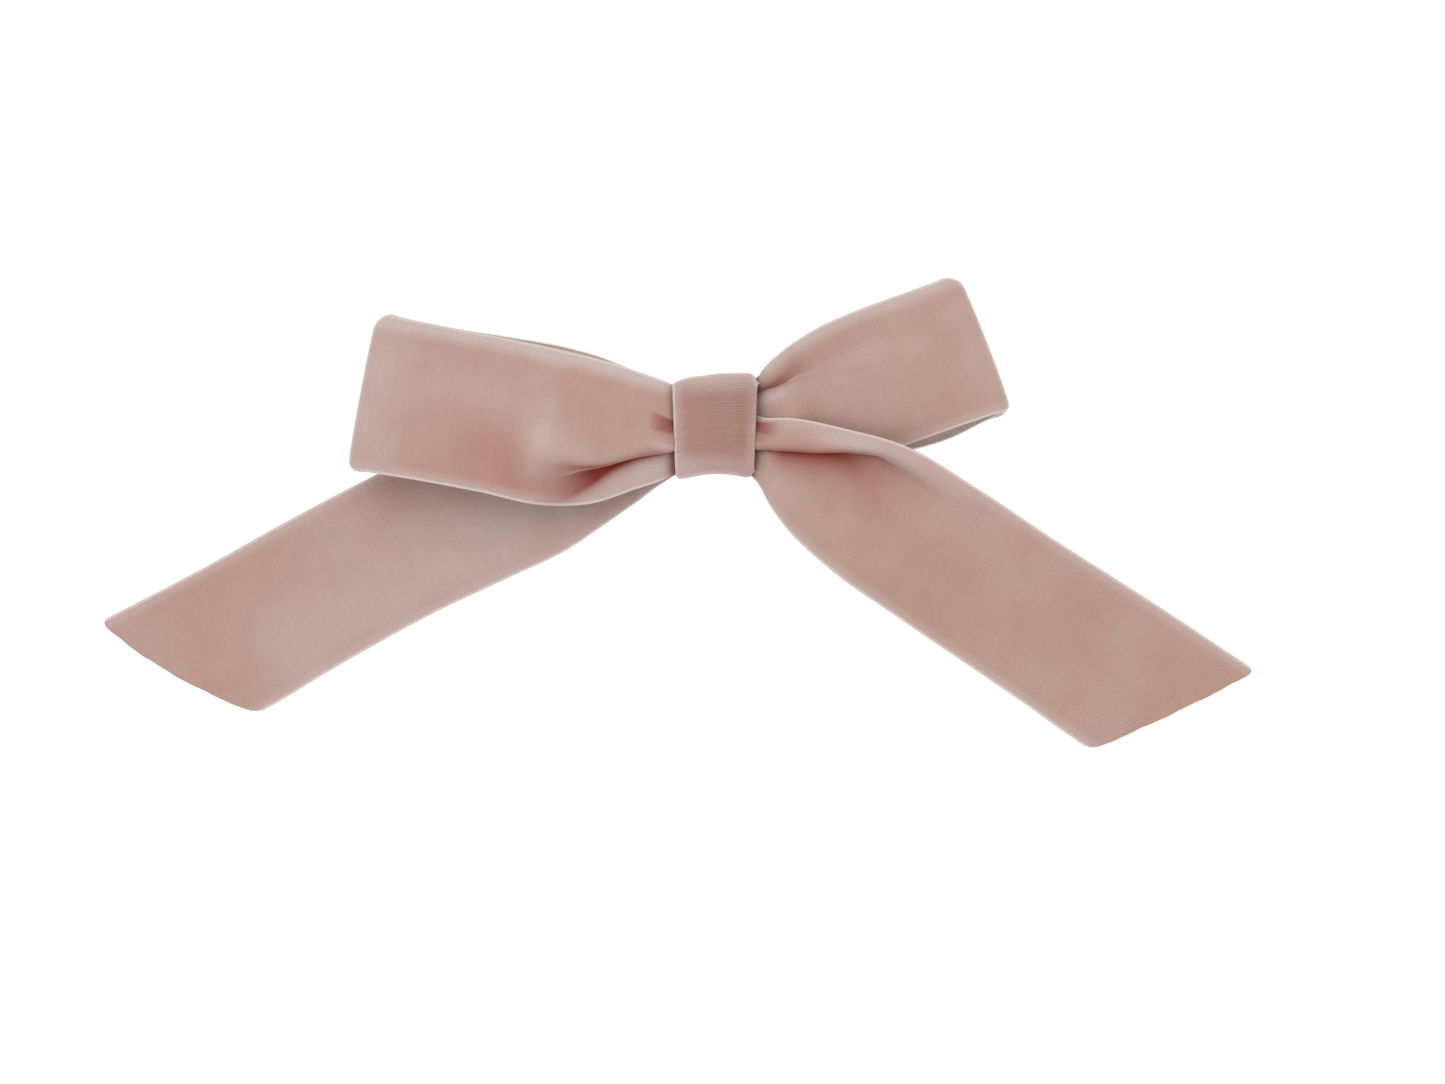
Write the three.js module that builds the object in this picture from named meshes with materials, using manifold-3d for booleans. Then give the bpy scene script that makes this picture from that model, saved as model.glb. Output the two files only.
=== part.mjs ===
// Velvet ribbon bow on an automatic (French) hair barrette.
// Millimetres. +X to the wearer's-view right, +Z up, and -Y towards whoever looks at the bow.
// The origin is the centre of the space that holds the hair, between the tension bow and the closing arm.
import * as THREE from 'three';
import { mergeVertices } from 'three/addons/utils/BufferGeometryUtils.js';
import Module from 'manifold-3d';

const wasm = await Module();
wasm.setup();

// Gap left between pieces that touch in the real object.
const GAP = 0.3;

// Ribbon.
const RIBBON_WIDTH = 25;
const RIBBON_THICK = 1.0;
const WAIST_CHORD = 11.4;
const WAIST_THICK = 1.6;
const TAIL_CUT_DEG = 33;
const TAIL_CUT_REACH = 34;
const LEFT_FOLD_RADIUS = 3.0;
const RIGHT_FOLD_RADIUS = 3.2;
const STEP_ALONG = 2.6;
const STEPS_ACROSS = 4;
const STEPS_ROUND_FOLD = 8;

// Depth of each of the four ribbon layers at the waist, from the front one to the rear one.
const LAYER_PITCH = WAIST_THICK + GAP + 0.1;
const LAYER_1_Y = -16.15;
const LAYER_2_Y = LAYER_1_Y + LAYER_PITCH;
const LAYER_3_Y = LAYER_2_Y + LAYER_PITCH;
const LAYER_4_Y = LAYER_3_Y + LAYER_PITCH;

// Knot band, thread and glue.
const BAND_LENGTH = 13.5;
const BAND_THICK = 1.1;
const BAND_FRONT_Y = -19.2;
const BAND_BACK_Y = -4.35;
const BAND_HALF_TALL = 8.3;
const BAND_HALF_BACK = 5.8;
const BAND_CORNER = 2.4;
const BAND_SKEW_DEG = 5.5;
const THREAD_LENGTH = 3;
const THREAD_THICK = 0.5;
const THREAD_HALF_TALL = 6.7;
const THREAD_FRONT_Y = -17.8;
const THREAD_BACK_Y = -8.5;
const GLUE_LENGTH = 12.4;
const GLUE_TALL = 6.4;
const GLUE_THICK = 1.0;

// Clip.
const BAR_LENGTH = 60;
const BAR_WIDTH = 8;
const STEEL = 0.8;
const BAR_MID_Y = -6.5;
const BAR_RADIUS = 110;
const BAR_ARCH_END_X = 21;
const BAR_FLAT_X = 25;
const BAR_CORNER = 3;
const SEWING_HOLE_X = 18.5;
const SEWING_HOLE_R = 0.9;
const PIN_X = -28;
const PIN_Y = 2.5;
const PIN_R = 0.6;
const PIN_HOLE_R = 0.8;
const PIN_HEAD_R = 1.1;
const PIN_HEAD_THICK = 0.4;
const EAR_R = 1.7;
const EAR_INNER_Z = 3.1;
const EAR_FRONT_X = -25.8;
const ARM_OUTER_Y = 4.0;
const ARM_WIDTH = 7.0;
const ARM_NECK_WIDTH = 5.4;
const ARM_NECK_END_X = -24.4;
const ARM_TIP_X = 33;
const ARM_TIP_LIFT = 1.1;
const ARM_BEND_X = 30.4;
const KNUCKLE_R = ARM_OUTER_Y - PIN_Y;
const WINDOW_X = [25.0, 29.6];
const WINDOW_HALF_Z = 2.4;
const FLANGE_X = [-18, 21];
const FLANGE_DEPTH = 0.9;
const FLANGE_THICK = 0.5;
const SPRING_WIDTH = 4.4;
const SPRING_THICK = 0.4;
const SPRING_MID_Y = -3.8;
const SPRING_RADIUS = 200;
const SPRING_END_X = 23.8;
const BASE_X = [24.9, 29.7];
const BASE_HALF_Z = 2.7;
const BASE_THICK = 0.5;
const RIVET_X = 27.3;
const RIVET_R = 0.7;
const RIVET_HOLE_R = 1.0;
const RIVET_HEAD_R = 1.1;
const RIVET_HEAD_THICK = 0.35;
const WING_X = [25.6, 29.0];
const WING_INNER_Z = 1.55;
const WING_THICK = 0.45;
const WING_TAB_Z = 5.4;
const WING_TAB_Y = 0.2;
const WING_TAB_LIP = 1.2;
const WING_TOP_Y = 5.3;
const BARB_REACH = 0.75;
const ROUND_SEGMENTS = 28;

const VELVET = new THREE.MeshStandardMaterial({ color: 0xbc9a8b, roughness: 0.95, metalness: 0 });
const THREAD_GREY = new THREE.MeshStandardMaterial({ color: 0xc9b8ad, roughness: 0.8, metalness: 0 });
const GLUE = new THREE.MeshStandardMaterial({ color: 0xe6e0d4, roughness: 0.45, metalness: 0 });
const NICKEL = new THREE.MeshStandardMaterial({ color: 0xc8c9cb, roughness: 0.28, metalness: 1 });
const SPRING_STEEL = new THREE.MeshStandardMaterial({ color: 0xb7b9bd, roughness: 0.35, metalness: 1 });

// Axis changes for shapes drawn in a plane and extruded along one of the three axes.
const ALONG_X = new THREE.Matrix4().makeBasis(
  new THREE.Vector3(0, 1, 0),
  new THREE.Vector3(0, 0, 1),
  new THREE.Vector3(1, 0, 0),
);
const ALONG_Y = new THREE.Matrix4().makeBasis(
  new THREE.Vector3(0, 0, 1),
  new THREE.Vector3(1, 0, 0),
  new THREE.Vector3(0, 1, 0),
);
const ALONG_Z = new THREE.Matrix4();

// An outline extruded from one value of the chosen axis to another.
// The outline is drawn as (y, z) for ALONG_X, (z, x) for ALONG_Y and (x, y) for ALONG_Z.
function extruded(shape, axis, from, to) {
  const geometry = new THREE.ExtrudeGeometry(shape, {
    depth: to - from,
    bevelEnabled: false,
    curveSegments: 10,
  });
  geometry.translate(0, 0, from);
  geometry.applyMatrix4(axis);
  return geometry;
}

function polygon(points) {
  return new THREE.Shape(points.map(([a, b]) => new THREE.Vector2(a, b)));
}

function box(x, y, z) {
  const geometry = new THREE.BoxGeometry(x[1] - x[0], y[1] - y[0], z[1] - z[0]);
  geometry.translate((x[0] + x[1]) / 2, (y[0] + y[1]) / 2, (z[0] + z[1]) / 2);
  return geometry;
}

// A closed mesh as a solid that can be joined and cut.
function solid(geometry) {
  const bare = geometry.clone();
  bare.deleteAttribute('normal');
  bare.deleteAttribute('uv');
  const merged = mergeVertices(bare, 1e-4);
  return new wasm.Manifold(new wasm.Mesh({
    numProp: 3,
    vertProperties: new Float32Array(merged.attributes.position.array),
    triVerts: new Uint32Array(merged.index.array),
  }));
}

function meshOf(name, shape, material) {
  let geometry = shape;
  if (!shape.isBufferGeometry) {
    const cut = shape.getMesh();
    geometry = new THREE.BufferGeometry();
    geometry.setAttribute('position', new THREE.BufferAttribute(new Float32Array(cut.vertProperties), 3));
    geometry.setIndex(new THREE.BufferAttribute(new Uint32Array(cut.triVerts), 1));
    geometry.computeVertexNormals();
  }
  const mesh = new THREE.Mesh(geometry, material);
  mesh.name = name;
  return mesh;
}

function circle(x, y, radius) {
  return new THREE.Shape().absarc(x, y, radius, 0, 2 * Math.PI, false);
}

// One ribbon: stations along its middle line, lofted into a strip of changing width and thickness.
// Each station is [x, z, y, lean, chord, thickness]. lean is the tilt of the ribbon's width from
// upright, in degrees towards +X, and chord is how wide the gathered ribbon measures there.
function ribbonStrip(stations) {
  const distances = [0];
  for (let i = 1; i < stations.length; i += 1) {
    const [x0, z0, y0] = stations[i - 1];
    const [x1, z1, y1] = stations[i];
    distances.push(distances[i - 1] + Math.hypot(x1 - x0, y1 - y0, z1 - z0));
  }
  const length = distances[distances.length - 1];
  const track = new THREE.CubicInterpolant(distances, stations.flat(), 6);
  const steps = Math.round(length / STEP_ALONG);
  const geometry = new THREE.BoxGeometry(length, 1, 1, steps, STEPS_ACROSS, 1);
  const position = geometry.attributes.position;
  const vertex = new THREE.Vector3();
  const ahead = new THREE.Vector3();
  const behind = new THREE.Vector3();
  const width = new THREE.Vector3();
  const normal = new THREE.Vector3();
  const cut = RIBBON_WIDTH * Math.tan(THREE.MathUtils.degToRad(TAIL_CUT_DEG));
  for (let i = 0; i < position.count; i += 1) {
    vertex.fromBufferAttribute(position, i);
    const along = vertex.x + length / 2;
    const fade = 1 - THREE.MathUtils.smoothstep(along, 0, TAIL_CUT_REACH);
    const at = along + cut * (0.5 - vertex.y) * fade;
    const [xa, za, ya] = track.evaluate(Math.min(at + 0.1, length));
    ahead.set(xa, ya, za);
    const [xb, zb, yb] = track.evaluate(Math.max(at - 0.1, 0));
    behind.set(xb, yb, zb);
    const [x, z, y, lean, chord, thick] = track.evaluate(at);
    const tilt = THREE.MathUtils.degToRad(lean);
    width.set(Math.sin(tilt), 0, Math.cos(tilt));
    normal.crossVectors(ahead.sub(behind), width).normalize();
    width.multiplyScalar(vertex.y * chord);
    normal.multiplyScalar(vertex.z * thick);
    vertex.set(x, y, z).add(width).add(normal);
    position.setXYZ(i, vertex.x, vertex.y, vertex.z);
  }
  geometry.computeVertexNormals();
  return geometry;
}

// Stations round the half turn at the far end of a loop, from its front layer to its back layer.
function foldStations(x, z, frontY, lean, radius, outward) {
  const tilt = THREE.MathUtils.degToRad(lean);
  const stations = [];
  for (let i = 0; i <= STEPS_ROUND_FOLD; i += 1) {
    const turn = (Math.PI * i) / STEPS_ROUND_FOLD;
    const reach = radius * Math.sin(turn) * outward;
    stations.push([
      x + reach * Math.cos(tilt),
      z - reach * Math.sin(tilt),
      frontY + radius * (1 - Math.cos(turn)),
      lean,
      RIBBON_WIDTH,
      RIBBON_THICK,
    ]);
  }
  return stations;
}

// Right tail, waist in front, and left loop.
function frontRibbon() {
  return ribbonStrip([
    [81.9, -51.6, -3.2, 34, RIBBON_WIDTH, RIBBON_THICK],
    [66.0, -40.8, -7.6, 34, RIBBON_WIDTH, RIBBON_THICK],
    [49.2, -29.4, -12.0, 34, RIBBON_WIDTH, RIBBON_THICK],
    [35.9, -20.3, -15.0, 33, RIBBON_WIDTH, RIBBON_THICK],
    [24.6, -13.2, -17.0, 29, 23.4, 1.1],
    [16.4, -8.6, -17.5, 26, 18.0, 1.4],
    [10.8, -5.4, -16.9, 16, 13.2, WAIST_THICK],
    [7.6, -2.1, -16.3, 2, 8.2, WAIST_THICK],
    [5.6, -1.2, LAYER_1_Y, 1, 8.6, WAIST_THICK],
    [0, 0, LAYER_1_Y, 0, WAIST_CHORD, WAIST_THICK],
    [-5.6, -0.5, LAYER_1_Y, 1, 12.8, WAIST_THICK],
    [-7.4, -0.6, -16.3, 2, 13.6, WAIST_THICK],
    [-12.8, -0.7, -16.9, 4, 19.0, 1.4],
    [-19.6, -0.8, -17.3, 5, 23.4, 1.1],
    [-26.3, -0.2, -17.4, 7, RIBBON_WIDTH, RIBBON_THICK],
    [-38.0, 2.2, -17.2, 9, RIBBON_WIDTH, RIBBON_THICK],
    [-49.0, 4.3, -16.5, 10, RIBBON_WIDTH, RIBBON_THICK],
    ...foldStations(-55.6, 5.6, -16.2, 10.7, LEFT_FOLD_RADIUS, -1),
    [-49.0, 4.5, -10.2, 10, RIBBON_WIDTH, RIBBON_THICK],
    [-38.0, 2.6, -10.4, 9, RIBBON_WIDTH, RIBBON_THICK],
    [-26.0, 0.8, -11.0, 7, 24.4, RIBBON_THICK],
    [-19.5, 0.2, -11.9, 5, 22.4, 1.1],
    [-12.8, 0.0, -13.1, 3, 18.4, 1.4],
    [-7.6, -0.3, -14.0, 1, 12.6, WAIST_THICK],
    [-5.6, -0.3, LAYER_2_Y, 1, 12.2, WAIST_THICK],
    [0, 0, LAYER_2_Y, 0, WAIST_CHORD, WAIST_THICK],
    [5.6, 0.2, LAYER_2_Y, 0, WAIST_CHORD, WAIST_THICK],
  ]);
}

// Left tail, waist behind, and right loop.
function rearRibbon() {
  return ribbonStrip([
    [-96.9, -43.7, 0.8, -28, RIBBON_WIDTH, RIBBON_THICK],
    [-80.0, -34.7, -2.3, -28, RIBBON_WIDTH, RIBBON_THICK],
    [-66.9, -27.3, -4.6, -28, RIBBON_WIDTH, RIBBON_THICK],
    [-53.6, -20.0, -6.4, -28, RIBBON_WIDTH, RIBBON_THICK],
    [-40.3, -13.7, -7.5, -27, RIBBON_WIDTH, RIBBON_THICK],
    [-31.0, -9.9, -8.2, -27, 24.0, RIBBON_THICK],
    [-24.0, -7.8, -8.8, -26, 20.6, 1.1],
    [-16.6, -5.2, -9.9, -22, 16.4, 1.4],
    [-11.0, -2.6, -11.2, -12, 14.0, WAIST_THICK],
    [-6.2, -0.7, LAYER_3_Y, -4, 12.6, WAIST_THICK],
    [0, 0, LAYER_3_Y, 0, WAIST_CHORD, WAIST_THICK],
    [5.6, 0.6, LAYER_3_Y, -1, 12.2, WAIST_THICK],
    [7.4, 1.1, -12.3, -3, 12.4, WAIST_THICK],
    [11.6, 3.4, -12.9, -9, 18.4, 1.4],
    [18.3, 5.2, -13.4, -14, 21.8, 1.1],
    [26.4, 7.6, -13.6, -19, 24.0, RIBBON_THICK],
    [34.4, 10.2, -13.4, -21, RIBBON_WIDTH, RIBBON_THICK],
    ...foldStations(41.9, 12.7, -12.9, -21.4, RIGHT_FOLD_RADIUS, 1),
    [34.4, 8.9, -6.5, -21, RIBBON_WIDTH, RIBBON_THICK],
    [26.4, 6.2, -6.8, -19, 24.0, RIBBON_THICK],
    [18.3, 4.0, -7.6, -14, 21.2, 1.1],
    [11.6, 2.3, -9.0, -8, 17.6, 1.4],
    [6.2, 0.6, LAYER_4_Y, -2, 12.6, WAIST_THICK],
    [0, 0, LAYER_4_Y, 0, WAIST_CHORD, WAIST_THICK],
    [-5.6, -0.2, LAYER_4_Y, 0, WAIST_CHORD, WAIST_THICK],
  ]);
}

// Closed outline of something wrapped round the waist and the bar, drawn as (y, z).
// It is full height round the ribbon layers and narrows towards the bar behind them.
function wrapOutline(frontY, backY, halfTall, halfBack, corner, path) {
  const shoulder = frontY + corner * 1.4;
  const hip = THREAD_BACK_Y + GAP;
  path.moveTo(frontY, halfTall - corner);
  path.lineTo(frontY, corner - halfTall);
  path.quadraticCurveTo(frontY, -halfTall, shoulder, -halfTall);
  path.lineTo(hip, -halfTall);
  path.bezierCurveTo(hip + 1.6, -halfTall, backY, -halfBack - 0.6, backY, 1.2 - halfBack);
  path.lineTo(backY, halfBack - 1.2);
  path.bezierCurveTo(backY, halfBack + 0.6, hip + 1.6, halfTall, hip, halfTall);
  path.lineTo(shoulder, halfTall);
  path.quadraticCurveTo(frontY, halfTall, frontY, halfTall - corner);
  return path;
}

function knotBand() {
  const outline = wrapOutline(
    BAND_FRONT_Y,
    BAND_BACK_Y,
    BAND_HALF_TALL,
    BAND_HALF_BACK,
    BAND_CORNER,
    new THREE.Shape(),
  );
  outline.holes.push(wrapOutline(
    BAND_FRONT_Y + BAND_THICK,
    BAND_BACK_Y - BAND_THICK,
    BAND_HALF_TALL - BAND_THICK,
    BAND_HALF_BACK - BAND_THICK * 0.7,
    BAND_CORNER - BAND_THICK,
    new THREE.Path(),
  ));
  const geometry = extruded(outline, ALONG_X, -BAND_LENGTH / 2, BAND_LENGTH / 2);
  const skew = new THREE.Matrix4();
  skew.elements[2] = Math.tan(THREE.MathUtils.degToRad(BAND_SKEW_DEG));
  geometry.applyMatrix4(skew);
  return geometry;
}

function roundedRing(halfTall, frontY, backY, corner, path) {
  path.moveTo(frontY + corner, -halfTall);
  path.lineTo(backY - corner, -halfTall);
  path.quadraticCurveTo(backY, -halfTall, backY, corner - halfTall);
  path.lineTo(backY, halfTall - corner);
  path.quadraticCurveTo(backY, halfTall, backY - corner, halfTall);
  path.lineTo(frontY + corner, halfTall);
  path.quadraticCurveTo(frontY, halfTall, frontY, halfTall - corner);
  path.lineTo(frontY, corner - halfTall);
  path.quadraticCurveTo(frontY, -halfTall, frontY + corner, -halfTall);
  return path;
}

function waistThread() {
  const outline = roundedRing(THREAD_HALF_TALL, THREAD_FRONT_Y, THREAD_BACK_Y, 0.9, new THREE.Shape());
  outline.holes.push(roundedRing(
    THREAD_HALF_TALL - THREAD_THICK,
    THREAD_FRONT_Y + THREAD_THICK,
    THREAD_BACK_Y - THREAD_THICK,
    0.3,
    new THREE.Path(),
  ));
  return extruded(outline, ALONG_X, -THREAD_LENGTH / 2, THREAD_LENGTH / 2);
}

function gluePad() {
  const back = BAR_MID_Y - STEEL / 2 - GAP;
  return box(
    [-GLUE_LENGTH / 2, GLUE_LENGTH / 2],
    [back - GLUE_THICK, back],
    [-GLUE_TALL / 2, GLUE_TALL / 2],
  );
}

// Depth of the bar's middle surface: an arc that flattens out towards both ends.
function barDepth(x) {
  const reach = Math.abs(x);
  if (reach <= BAR_ARCH_END_X) {
    return BAR_MID_Y + (reach * reach) / (2 * BAR_RADIUS);
  }
  const arch = (BAR_ARCH_END_X * BAR_ARCH_END_X) / (2 * BAR_RADIUS);
  const slope = BAR_ARCH_END_X / BAR_RADIUS;
  const span = BAR_FLAT_X - BAR_ARCH_END_X;
  const past = Math.min(reach - BAR_ARCH_END_X, span);
  return BAR_MID_Y + arch + slope * (past - (past * past) / (2 * span));
}

const BAR_FLAT_Y = barDepth(BAR_LENGTH / 2);
const BAR_FLAT_INNER_Y = BAR_FLAT_Y + STEEL / 2;
const BAR_FLAT_OUTER_Y = BAR_FLAT_Y - STEEL / 2;

// Rounded rectangle in plan, drawn as (z, x).
function planOutline(x, halfZ, corner) {
  const shape = new THREE.Shape();
  shape.moveTo(-halfZ, x[0] + corner);
  shape.quadraticCurveTo(-halfZ, x[0], corner - halfZ, x[0]);
  shape.lineTo(halfZ - corner, x[0]);
  shape.quadraticCurveTo(halfZ, x[0], halfZ, x[0] + corner);
  shape.lineTo(halfZ, x[1] - corner);
  shape.quadraticCurveTo(halfZ, x[1], halfZ - corner, x[1]);
  shape.lineTo(corner - halfZ, x[1]);
  shape.quadraticCurveTo(-halfZ, x[1], -halfZ, x[1] - corner);
  return shape;
}

function pinHole(radius) {
  return solid(extruded(circle(PIN_X, PIN_Y, radius), ALONG_Z, -BAR_WIDTH, BAR_WIDTH));
}

function ear(fromZ, toZ) {
  const shape = new THREE.Shape();
  shape.moveTo(-BAR_LENGTH / 2, BAR_FLAT_OUTER_Y);
  shape.lineTo(EAR_FRONT_X, BAR_FLAT_OUTER_Y);
  shape.lineTo(EAR_FRONT_X, BAR_FLAT_INNER_Y + 1);
  shape.lineTo(PIN_X + EAR_R, PIN_Y);
  shape.absarc(PIN_X, PIN_Y, EAR_R, 0, Math.PI, false);
  shape.lineTo(-BAR_LENGTH / 2, BAR_FLAT_INNER_Y + 1);
  return solid(extruded(shape, ALONG_Z, fromZ, toZ));
}

function topBar() {
  const outer = [];
  const inner = [];
  const half = BAR_LENGTH / 2;
  const count = 40;
  for (let i = 0; i <= count; i += 1) {
    const x = -half + (BAR_LENGTH * i) / count;
    outer.push([x, barDepth(x) - STEEL / 2]);
    inner.unshift([x, barDepth(x) + STEEL / 2]);
  }
  const strip = solid(extruded(polygon([...outer, ...inner]), ALONG_Z, -BAR_WIDTH / 2, BAR_WIDTH / 2));
  const plan = solid(extruded(
    planOutline([-half, half], BAR_WIDTH / 2, BAR_CORNER),
    ALONG_Y,
    BAND_FRONT_Y,
    PIN_Y,
  ));
  let bar = strip.intersect(plan);
  bar = bar.add(ear(EAR_INNER_Z, EAR_INNER_Z + STEEL));
  bar = bar.add(ear(-EAR_INNER_Z - STEEL, -EAR_INNER_Z));
  bar = bar.subtract(pinHole(PIN_HOLE_R));
  for (const x of [-SEWING_HOLE_X, SEWING_HOLE_X]) {
    bar = bar.subtract(solid(extruded(circle(0, x, SEWING_HOLE_R), ALONG_Y, BAND_FRONT_Y, PIN_Y)));
  }
  return bar.subtract(solid(extruded(circle(0, RIVET_X, RIVET_HOLE_R), ALONG_Y, BAND_FRONT_Y, PIN_Y)));
}

// A headed pin turned about its own axis, from one end to the other.
function headedPin(radius, headRadius, headThick, from, to) {
  const profile = [
    [0, from],
    [headRadius * 0.7, from],
    [headRadius, from + headThick * 0.6],
    [headRadius, from + headThick],
    [radius, from + headThick],
    [radius, to - headThick],
    [headRadius, to - headThick],
    [headRadius, to - headThick * 0.6],
    [headRadius * 0.7, to],
    [0, to],
  ];
  return new THREE.LatheGeometry(profile.map(([r, h]) => new THREE.Vector2(r, h)), ROUND_SEGMENTS);
}

function hingePin() {
  const reach = EAR_INNER_Z + STEEL + GAP + PIN_HEAD_THICK;
  const geometry = headedPin(PIN_R, PIN_HEAD_R, PIN_HEAD_THICK, -reach, reach);
  geometry.rotateX(Math.PI / 2);
  geometry.translate(PIN_X, PIN_Y, 0);
  return geometry;
}

function catchRivet() {
  const front = BAR_FLAT_OUTER_Y - GAP - RIVET_HEAD_THICK;
  const back = BAR_FLAT_INNER_Y + GAP + BASE_THICK + GAP + RIVET_HEAD_THICK;
  const geometry = headedPin(RIVET_R, RIVET_HEAD_R, RIVET_HEAD_THICK, front, back);
  geometry.translate(RIVET_X, 0, 0);
  return geometry;
}

// The arm: a knuckle round the pin, a flat channel, a window for the catch and a lifted thumb tip.
function closingArm() {
  const inner = ARM_OUTER_Y - STEEL;
  const side = polygon([
    [PIN_X, ARM_OUTER_Y],
    [PIN_X, inner],
    [ARM_BEND_X, inner],
    [ARM_TIP_X, inner + ARM_TIP_LIFT],
    [ARM_TIP_X, ARM_OUTER_Y + ARM_TIP_LIFT],
    [ARM_BEND_X, ARM_OUTER_Y],
  ]);
  const strip = solid(extruded(side, ALONG_Z, -ARM_WIDTH / 2, ARM_WIDTH / 2));
  const broad = solid(extruded(
    planOutline([ARM_NECK_END_X, ARM_TIP_X], ARM_WIDTH / 2, 1.6),
    ALONG_Y,
    0,
    2 * ARM_OUTER_Y,
  ));
  const neck = solid(box([PIN_X, 0], [0, 2 * ARM_OUTER_Y], [-ARM_NECK_WIDTH / 2, ARM_NECK_WIDTH / 2]));
  let arm = strip.intersect(broad.add(neck));
  arm = arm.add(solid(extruded(
    circle(PIN_X, PIN_Y, KNUCKLE_R),
    ALONG_Z,
    -ARM_NECK_WIDTH / 2,
    ARM_NECK_WIDTH / 2,
  )));
  for (const side of [-1, 1]) {
    const rim = (side * ARM_WIDTH) / 2;
    const z = [rim, rim - side * FLANGE_THICK].sort((a, b) => a - b);
    arm = arm.add(solid(box(FLANGE_X, [inner - FLANGE_DEPTH, inner + STEEL / 2], z)));
  }
  arm = arm.subtract(pinHole(PIN_HOLE_R));
  return arm.subtract(solid(extruded(
    planOutline(WINDOW_X, WINDOW_HALF_Z, 0.5),
    ALONG_Y,
    0,
    2 * ARM_OUTER_Y,
  )));
}

// The arched spring strip, with a short foot turned to the bar at each end.
function tensionBow() {
  const outer = [];
  const inner = [];
  const count = 24;
  const reach = SPRING_END_X;
  const foot = BAR_FLAT_INNER_Y + GAP;
  outer.push([-reach, foot]);
  outer.push([-reach + SPRING_THICK, foot]);
  for (let i = 0; i <= count; i += 1) {
    const x = (reach - SPRING_THICK) * ((2 * i) / count - 1);
    outer.push([x, SPRING_MID_Y - SPRING_THICK / 2 + (x * x) / (2 * SPRING_RADIUS)]);
  }
  outer.push([reach - SPRING_THICK, foot]);
  outer.push([reach, foot]);
  for (let i = 0; i <= count; i += 1) {
    const x = reach * ((2 * i) / count - 1);
    inner.unshift([x, SPRING_MID_Y + SPRING_THICK / 2 + (x * x) / (2 * SPRING_RADIUS)]);
  }
  return extruded(polygon([...outer, ...inner]), ALONG_Z, -SPRING_WIDTH / 2, SPRING_WIDTH / 2);
}

function catchBase() {
  const y = BAR_FLAT_INNER_Y + GAP;
  const plate = solid(box(BASE_X, [y, y + BASE_THICK], [-BASE_HALF_Z, BASE_HALF_Z]));
  return plate.subtract(solid(extruded(circle(0, RIVET_X, RIVET_HOLE_R), ALONG_Y, BAND_FRONT_Y, PIN_Y)));
}

// One sprung wing of the catch: a stem through the arm's window, a barb over the window's edge
// and a finger tab outside the clip. side is 1 for the upper wing and -1 for the lower one.
function catchWing(side) {
  const root = BAR_FLAT_INNER_Y + GAP + BASE_THICK + GAP;
  const face = WING_INNER_Z + WING_THICK;
  const points = [
    [root, WING_INNER_Z],
    [root, face],
    [WING_TAB_Y, face],
    [WING_TAB_Y, WING_TAB_Z],
    [WING_TAB_Y + WING_TAB_LIP, WING_TAB_Z + 0.5],
    [WING_TAB_Y + WING_TAB_LIP, WING_TAB_Z],
    [WING_TAB_Y + WING_THICK, WING_TAB_Z - 0.4],
    [WING_TAB_Y + WING_THICK, face],
    [ARM_OUTER_Y + GAP, face],
    [ARM_OUTER_Y + GAP, WING_INNER_Z + BARB_REACH + WING_THICK],
    [WING_TOP_Y, WING_INNER_Z + WING_THICK * 0.6],
    [WING_TOP_Y, WING_INNER_Z],
  ].map(([y, z]) => [y, z * side]);
  if (side > 0) {
    points.reverse();
  }
  return extruded(polygon(points), ALONG_X, WING_X[0], WING_X[1]);
}

const barrette = new THREE.Group();
barrette.add(meshOf('front_ribbon', frontRibbon(), VELVET));
barrette.add(meshOf('rear_ribbon', rearRibbon(), VELVET));
barrette.add(meshOf('knot_band', knotBand(), VELVET));
barrette.add(meshOf('waist_thread', waistThread(), THREAD_GREY));
barrette.add(meshOf('glue_pad', gluePad(), GLUE));
barrette.add(meshOf('top_bar', topBar(), NICKEL));
barrette.add(meshOf('hinge_pin', hingePin(), NICKEL));
barrette.add(meshOf('closing_arm', closingArm(), NICKEL));
barrette.add(meshOf('tension_bow', tensionBow(), SPRING_STEEL));
barrette.add(meshOf('catch_base', catchBase(), SPRING_STEEL));
barrette.add(meshOf('catch_wing_upper', catchWing(1), SPRING_STEEL));
barrette.add(meshOf('catch_wing_lower', catchWing(-1), SPRING_STEEL));
barrette.add(meshOf('catch_rivet', catchRivet(), NICKEL));

export default barrette;
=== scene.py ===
import math

import bmesh
import bpy
import numpy as np
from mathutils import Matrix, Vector


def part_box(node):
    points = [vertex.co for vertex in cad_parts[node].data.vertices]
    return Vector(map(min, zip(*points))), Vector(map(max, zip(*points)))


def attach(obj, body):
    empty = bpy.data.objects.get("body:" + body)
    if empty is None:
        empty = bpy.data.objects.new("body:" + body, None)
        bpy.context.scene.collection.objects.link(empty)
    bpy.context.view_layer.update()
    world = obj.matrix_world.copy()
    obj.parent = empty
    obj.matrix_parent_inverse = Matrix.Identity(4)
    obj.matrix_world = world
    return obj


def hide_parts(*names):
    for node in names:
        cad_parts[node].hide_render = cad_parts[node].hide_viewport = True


bl_info = {
    "name": "Velvet Bow Barrette",
    "version": (1, 0, 0),
    "blender": (4, 5, 0),
    "location": "3D View > Sidebar > Barrette",
    "description": "Builds a velvet ribbon bow on an automatic hair clip, piece by piece",
    "category": "Object",
}

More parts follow.
